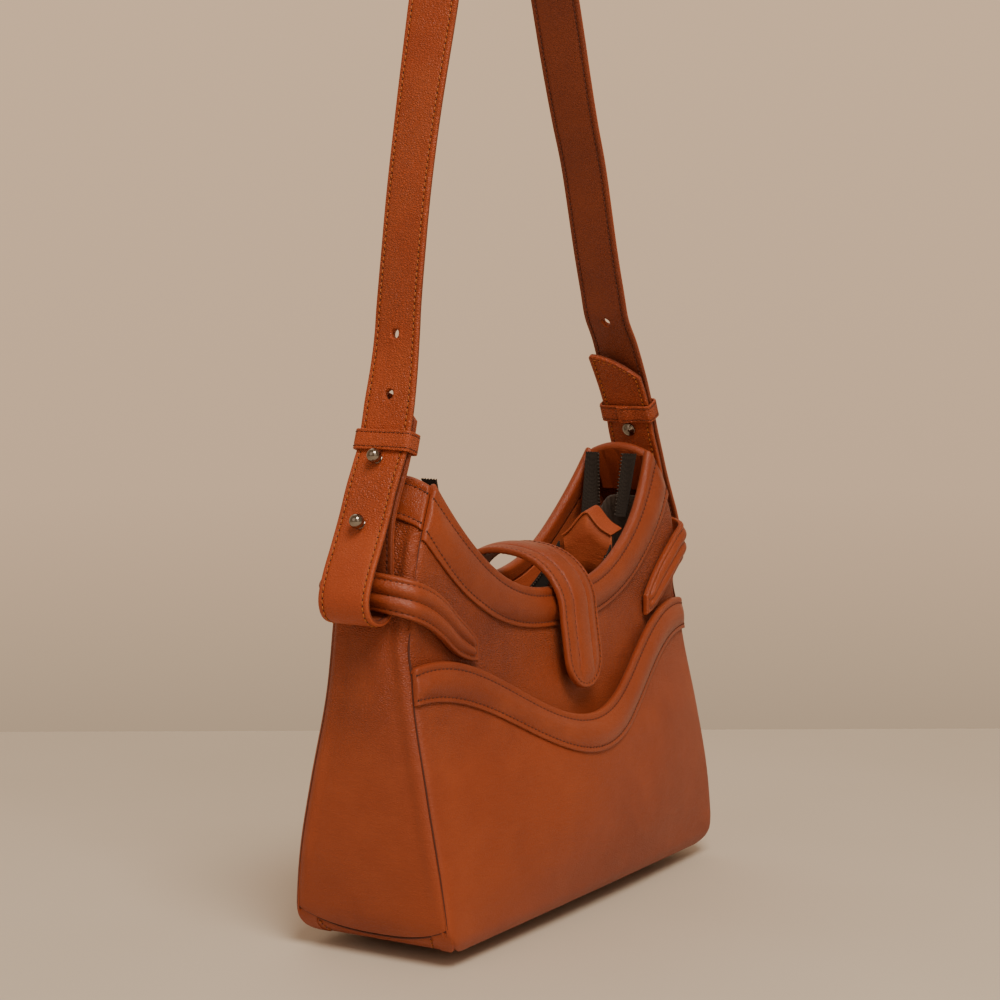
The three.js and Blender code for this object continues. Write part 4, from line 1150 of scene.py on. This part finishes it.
def corner_flap(end, side, name):
    """The rounded lower corner of a wall, lapped round on to the base's turned-up end and stitched."""
    b = spread(18, 14, roll=0.8)[None]
    a = spread(16, 12, roll=0.8)[:, None]
    reach = FLAP * np.sqrt(1 - 0.9 * (1 - b) ** 2)
    z = BASE_Z + 1.2 + (FOOT_END_Z - 0.8 - BASE_Z - 1.2) * b + 0 * a
    y = seam_depth(z, 1.4) - a * reach
    z = np.minimum(z, foot_line(y) - 0.5)
    edge = np.minimum(a * FLAP, np.minimum(b, 1 - b) * 14)
    lift = 0.3 - 1.3 * b**3 - rolled(edge + 0 * z, 0.6)
    sheet(name, xyz(end * outline_x(z), side * y, z), (end, 0, -0.4), lift, -1.9, "grain_leather")
    z = np.linspace(BASE_Z + 3, foot_line(36.0) - 2.5, 12)
    line = xyz(end * (outline_x(z) - 0.2), side * (seam_depth(z) - FLAP - 2.4), z)
    sewn(f"{name}_stitches", [stitch_row(line, [end, 0, -0.4], "gold_thread", hole=0.42)], "grain_leather")


base()
for hand, end in HANDS:
    for word, side in SIDES:
        corner_flap(end, side, f"{word}_{hand}_corner")


# ---- inside
FACING = 1.4
BAND_SEAT = 0.8
ZIP_REACH = 78
SLIDER_X = -62
TAPE_TALL = 13
TAIL_FOOT = {LEFT: 216.5, RIGHT: 213}  # lower ends of the tape ends at the horns
TAIL_TALL = 37
BRIDGE_X, BRIDGE_WIDE, BRIDGE_Z = 80, 13, 202  # place of the zip's bridges, and their width along X
APRON_Z = 176  # lower edge of the leather that hangs from a bridge
TAPE_THICK = 1.2
HORN_FACING_Z = 226  # lower edge of the leather inside the horns
BRIDGE_HALF = 16.5  # half the length of the leather bridges at the zip's ends


def facing_edge(x):
    return mouth_edge(x) - 30


def facing(word, side, depth):
    """Leather facing inside the mouth, puckered a little by the seams at both ends."""
    u = ((2 * spread(120, 280, roll=1.0) - 1) * 0.94)[:, None]
    b = spread(26, 30, roll=0.8)[None]
    top, foot = edge_height(u, mouth_edge) - 2, edge_height(u, facing_edge)
    points = on_wall(side, depth, u, foot + (top - foot) * b)
    pucker = 0.45 * np.sin(u * 74) * smooth(np.abs(u), 0.62, 0.9) * np.sin(math.pi * b)
    inset = LEATHER + BAND_SEAT + np.abs(pucker)
    out, (_, inner) = sheet(f"{word}_mouth_facing", points, (0, side, 0), -inset, -(inset + FACING),
                            "inner_leather", stands_for=[f"facing_{word}"])
    sewn(f"{word}_mouth_facing_stitches", [stitch_row(inner[6:-6, 3], -out[6:-6, 3], "brown_thread")],
         "inner_leather")


def horn_facing(end, name):
    """Leather inside a gusset's top, gathered into upright folds, over the cloth lining."""
    b = spread(20, 24, roll=0.8)[None]
    y_top = ((2 * spread(50, 36, roll=0.8) - 1) * 15.4)[:, None]
    z = HORN_FACING_Z + (horn_top(y_top) - 3 - HORN_FACING_Z) * b
    y = y_top * (1 + 0.12 * (1 - b))
    fold = 0.7 * np.abs(np.sin(y_top / 3.1)) * (1 - 0.35 * b)
    points = xyz(end * (gusset_x(y, z) - LEATHER - 2.6 - fold), y, z)
    sheet(name, points, (-end, 0, 0), 0, -1.2, "inner_leather")


def lining():
    """Cloth bag inside the walls: one sheet with slack folds, closed over by its own thickness."""
    floor = BASE_Z + LEATHER + 2 + 2 * GAP
    t = circle(180)
    unit_x, unit_y = [np.sign(v) * np.abs(v) ** 0.3 for v in (np.cos(t), np.sin(t))]
    rows = [0.05, 0.4, 0.75, 0.93, 1.0, *np.linspace(1, 2, 34)[1:]]

    def loop(row, thick):
        radius, up = min(row, 1), max(row - 1, 0)
        x_mid = radius * unit_x * (outline_x(150.0, LEATHER + 1) - 2.4 - thick)
        z = floor + thick + (mouth_edge(x_mid * 0.86) - 31 - floor - thick) * up
        layer = np.where(unit_y < 0, LEATHER + POCKET_LAYER, LEATHER)
        x = radius * unit_x * (outline_x(z, LEATHER + 1) - 2.4 - thick)
        bulge = np.where(unit_y < 0, front_bulge(z), back_bulge(z)) * (1 - (x / outline_x(z)) ** 2)
        y = radius * unit_y * (seam_depth(z, layer + 1) + bulge - 2.2 - thick)
        slack = (0.7 * np.sin(9 * t + 3 * up) * math.sin(math.pi * min(up, 1))
                 + 0.5 * np.sin(23 * t - 5 * up) * up)
        grow = 1 - 0.012 * np.abs(slack)
        return xyz(x * grow, y * grow, z)

    stack = [loop(row, 0.0) for row in rows] + [loop(row, 1.0) for row in rows[::-1]]
    obj = mesh_object("cloth_lining", np.concatenate(stack), tube_faces(len(stack), len(t)), "lining_cloth")
    tidy(obj)
    place_piece(obj, "lining_cloth", stands_for=["lining"])


def tape_z(x):
    return 158 + 34 * np.abs(x / ZIP_REACH) ** 2.4


def tape_y(x):
    return 1.6 + (15.5 + 2.5 * (1 - (x / ZIP_REACH) ** 2)) * smooth(x, SLIDER_X, SLIDER_X + 45)


def teeth(line, inward, up, pitch=2.2, size=(1.3, 1.0, 0.9)):
    """Small zip teeth along a line, each a bevelled block reaching inward."""
    run = along(line[None], 1)[0]
    at = np.arange(pitch / 2, run[-1], pitch)
    spots, ahead = sample(at, run, line), unit(sample(at, run, np.gradient(line, run, axis=0)))
    inward, up = np.array(inward, float), np.array(up, float)
    corners = [(i, j, k) for i in (0, 1) for j in (-1, 1) for k in (-1, 1)]
    verts = np.stack([spots + inward * (i * size[0] - 0.3) + ahead * j * size[1] / 2 * (1 - 0.25 * i)
                      + up * k * size[2] / 2 for i, j, k in corners], 1)
    block = [(0, 1, 3, 2), (4, 6, 7, 5), (0, 4, 5, 1), (2, 3, 7, 6), (0, 2, 6, 4), (1, 5, 7, 3)]
    faces = [[s * 8 + i for i in face] for s in range(len(at)) for face in block]
    return [[(verts.reshape(-1, 3), faces, "tooth")]]


def zip_side(word, side, depth):
    """A zip tape with its teeth, and the leather placket that joins it to the facing."""
    x = np.linspace(-ZIP_REACH, ZIP_REACH, 130)
    b = spread(16, TAPE_TALL, roll=0.4)[None]
    rib = 0.12 * np.cos(2 * math.pi * b * TAPE_TALL / 1.6)
    middle, near = tape_z(x), tape_y(x)
    z = middle[:, None] + TAPE_TALL * (b - 0.5)
    faces = [xyz(x[:, None], side * y, z) for y in (near[:, None] + rib + 0.12, near[:, None] + TAPE_THICK)]
    place_piece(skin(f"{word}_zip_tape", *faces, "zip_tape"), "zip_tape", stands_for=[f"zip_tape_{word}"])
    top = xyz(x, side * (near + 0.3), middle + TAPE_TALL / 2 - 0.3)
    sewn(f"{word}_zip_teeth", teeth(top[4:-4], (0, -side, 0), UP), "nickel")

    b = spread(20, 34, roll=0.7)[None]
    high = mouth_edge(x) - 8
    wall_y = depth(x / outline_x(high), high) - LEATHER - FACING - 3 * GAP - 1.4
    low_y = near + TAPE_THICK + GAP
    y = low_y[:, None] + (wall_y - low_y)[:, None] * (b * (1.6 - 0.6 * b))
    y = y + 0.35 * np.sin(x / 9)[:, None] * np.sin(math.pi * b)
    z = (middle - 5)[:, None] + (high - middle + 5)[:, None] * b
    out, (inner, _) = sheet(f"{word}_zip_strip", xyz(x[:, None], side * y, z), (0, side, 0), 0, 1.2,
                            "inner_leather", stands_for=[f"zip_placket_{word}"])
    row = stitch_row((inner - out * 0.02)[3:-3, 7], -out[3:-3, 7], "brown_thread")
    sewn(f"{word}_zip_strip_stitches", [row], "inner_leather")


def zip_tail(word, side, hand, end):
    """A loose end of zip tape climbing to the horn, ribbed, with its teeth and a raw, fuzzy end."""
    b = spread(40, 38, roll=0.5)[:, None]
    a = np.linspace(0, 1, 25)[None]
    z = TAIL_FOOT[end] + TAIL_TALL * b
    x = 98 + 12 * b + 1.6 * np.sin(math.pi * b) * np.sin(math.pi * a)
    wide, edge = ((7 + 2 * b, 16.6 + 0.6 * b) if side == FRONT else (12.5 - 4 * b, 14 + 3.4 * b))
    y = side * (edge - wide * a)
    ribs = np.cos(2 * math.pi * a * 7)
    rib = 0.22 * np.sign(ribs) * np.abs(ribs) ** 0.6
    front = xyz(end * (x - 0.25 + rib * 0.6), y, z + 0.5 * np.cos(31 * a) * b**8)
    obj = skin(f"{hand}_{word}_tape_end", front, xyz(end * (x + TAPE_THICK), y, z), "zip_tape")
    place_piece(obj, "zip_tape", stands_for=[f"zip_tail_{word}_{hand}"])
    line = front[2:-3, -1] - np.array([end * 0.1, 0, 0])
    sewn(f"{hand}_{word}_tape_end_teeth", teeth(line, (0, -side, 0), (end, 0, 0)), "nickel")


def zip_patch(hand, end):
    """The leather that bridges the walls at the zip's end: creased to a peak, with a rolled front edge."""
    x = BRIDGE_X + BRIDGE_WIDE * spread(12, 13, roll=0.7)[:, None]
    y = (BRIDGE_HALF * (2 * spread(40, 36, roll=0.7) - 1))[None]
    peak = 14 * (1 - np.sqrt((y / BRIDGE_HALF) ** 2 + 0.006)) + 1.3 * np.sin(y / 3.4 + 0.8)
    points = xyz(end * x, y, BRIDGE_Z + 0.2 * (x - BRIDGE_X) + peak)
    sheet(f"{hand}_zip_bridge", points, UP, 1.4, 0, "inner_leather", stands_for=[f"{hand}_zip_patch"])
    hang = np.array([0.0, 0.35, 0.7, 1])[:, None]
    brow = points[0, :, 2][None] - 0.1
    front = xyz(end * (BRIDGE_X + 0.6 + 3.5 * hang), y * (1 - 0.08 * hang), brow - (brow - APRON_Z) * hang)
    sheet(f"{hand}_zip_bridge_front", front, (-end, 0, 0), 0, -1.1, "inner_leather")


for (word, side), depth in zip(SIDES, (front_depth, back_depth)):
    facing(word, side, depth)
    zip_side(word, side, depth)
    for hand, end in HANDS:
        zip_tail(word, side, hand, end)
for hand, end in HANDS:
    horn_facing(end, f"{hand}_horn_facing")
    zip_patch(hand, end)
lining()

# ---- keepers, studs and feet
SCREW = [(0, -0.4), (1.2, -0.4), (1.2, -0.05), (3.9, 0), (4.2, 0.25), (4.2, 1.05), (3.9, 1.3), (0, 1.3)]


def turned(name, outline, count=48):
    """A solid turned about its own Z axis, from (radius, height) pairs that start and end on the axis."""
    angles = circle(count)
    verts = np.concatenate([xyz(r * np.cos(angles), r * np.sin(angles), h) for r, h in outline])
    obj = mesh_object(name, verts, tube_faces(len(outline), count, caps=False), "nickel")
    tidy(obj)
    return obj


def aim(obj, place, direction):
    """Moves the piece's points so that its Z axis starts at a place in mm and points in a direction."""
    turn = Vector(direction).to_track_quat("Z", "Y").to_matrix().to_4x4()
    obj.data.transform(Matrix.Translation(Vector(place) * MM) @ turn)


def cad_box_of(node):
    """The two corners of a CAD node's box, in mm."""
    return (np.array(corner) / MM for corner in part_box(node))


def keeper(end, name):
    """A leather ring round both runs of the strap, its ends overlapping on the inside."""
    node = f"{name}_keeper"
    low, high = cad_box_of(node)
    out = strap_frame(strap_place(end, 0))[1]
    out = out * np.sign(out[0]) * end
    ahead = np.cross(out, [0, 1, 0])
    ahead *= np.sign(ahead[2])
    middle = (low + high) / 2 * [1, 0, 1]
    wide, deep, corner, tall, row = STRAP_WIDTH / 2 + 1.5, 5.5, 2.4, 5.5, 5.5 - 1.7

    outline = [(-3.5, -deep), (wide - corner, -deep)]
    for across, inward, start in ((1, -1, -90), (1, 1, 0), (-1, 1, 90), (-1, -1, 180)):
        for angle in np.radians(start + np.linspace(0, 90, 9)):
            outline.append((across * (wide - corner) + corner * math.cos(angle),
                            inward * (deep - corner) + corner * math.sin(angle)))
    outline += [(-6, -deep), (-2, -deep - 0.9), (0, -deep - 1.5), (4.5, -deep - 1.5)]
    path = Line([middle + np.array([0.0, 1, 0]) * a + out * b for a, b in outline])
    s = path.stations([0, 0.1, 0.4, 0.9], np.linspace(1.5, path.length - 1.5, 150))
    normal = np.cross(ahead, path.heading(s))
    normal *= np.sign(np.sum(normal * (path.at(s) - middle), -1, keepdims=True))

    def thick(sign):
        def face(pos, at):
            edge = np.minimum(tall - np.abs(pos), path.to_end(at))
            return sign * (0.8 - groove(edge - 1.7, 0.2, 0.6) * (sign > 0) - rolled(edge, 0.6) * 0.9)
        return face

    obj = strip(f"{name}_keeper_ring", path, s, 0 * s + tall, ahead, normal, thick(1), thick(-1),
                across_places(tall, [row], 6), "strap_leather")
    place_piece(obj, "strap_leather", body=node, stands_for=[node])
    keep = path.to_end(s) > 3
    rows = [stitch_row(path.at(s[keep]) + ahead * sign * row + normal[keep] * 0.7, normal[keep],
                       "brown_thread", pitch=2.8, length=1.9, radius=0.2, hole=0.34) for sign in (-1, 1)]
    sewn(f"{name}_keeper_stitches", rows, "strap_leather", body=node)


def studs(end, name):
    """The two ball studs of one side, and the screw behind each."""
    ball, neck, flange = 4.0, 1.7, 2.8
    face = STRAP_THICK / 2 + 0.35
    start = math.asin(neck / ball)
    middle = face + 0.4 + ball * math.cos(start)
    arc = [(ball * math.sin(t), middle + ball * math.cos(t)) for t in np.linspace(math.pi - start, 0, 22)]
    stem = [(0, -7), (neck, -7), (neck, face), (flange - 0.2, face), (flange, face + 0.15),
            (flange - 0.1, face + 0.35), (neck + 0.3, face + 0.45)]
    for i, below in enumerate(STUD_STEPS, 1):
        centre, out = strap_frame(strap_place(end, below))
        out = out * np.sign(out[0]) * end
        body = turned(f"{name}_ball_stud_{i}", [*stem, *arc[:-1], (0, arc[-1][1])])
        aim(body, centre, out)
        place_piece(body, "nickel", stands_for=[f"{name}_stud_{i}"])
        low, high = cad_box_of(f"{name}_stud_screw_{i}")
        screw = turned(f"{name}_screw_back_{i}", SCREW)
        aim(screw, (low + high) / 2 - out * 0.65, out)
        place_piece(screw, "nickel", stands_for=[f"{name}_stud_screw_{i}"])


def feet():
    for name in ("front_left", "front_right", "back_left", "back_right"):
        low, high = cad_box_of(f"foot_{name}")
        r, tall = (high[0] - low[0]) / 2, high[2] - low[2]
        dome = [(r * (0.5 + 0.5 * math.sin(t)), 2.6 * (1 - math.cos(t)))
                for t in np.linspace(0, math.pi / 2, 10)]
        foot = turned(f"{name}_foot", [(0, 0), *dome, (r, 4), (r - 0.4, 4.5), (r - 0.8, tall), (0, tall)])
        foot.data.transform(Matrix.Translation(Vector((low + high) / 2 * [1, 1, 0]) * MM))
        place_piece(foot, "nickel", stands_for=[f"foot_{name}"])


for hand, end in HANDS:
    keeper(end, hand)
    studs(end, hand)
feet()

# ---- parts that keep their CAD shape
for node, look in (("zip_slider", "nickel"), ("zip_pull", "nickel"), ("snap_socket", "nickel"),
                   ("snap_stud", "nickel"), ("base_board", "base_board")):
    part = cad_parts[node]
    for place in part.material_slots:
        place.material = LOOK[look]
    soften = part.modifiers.new("soft_edges", "BEVEL")
    soften.width = 0.0004
    soften.segments = 2
    soften.limit_method = "ANGLE"

bpy.context.view_layer.update()
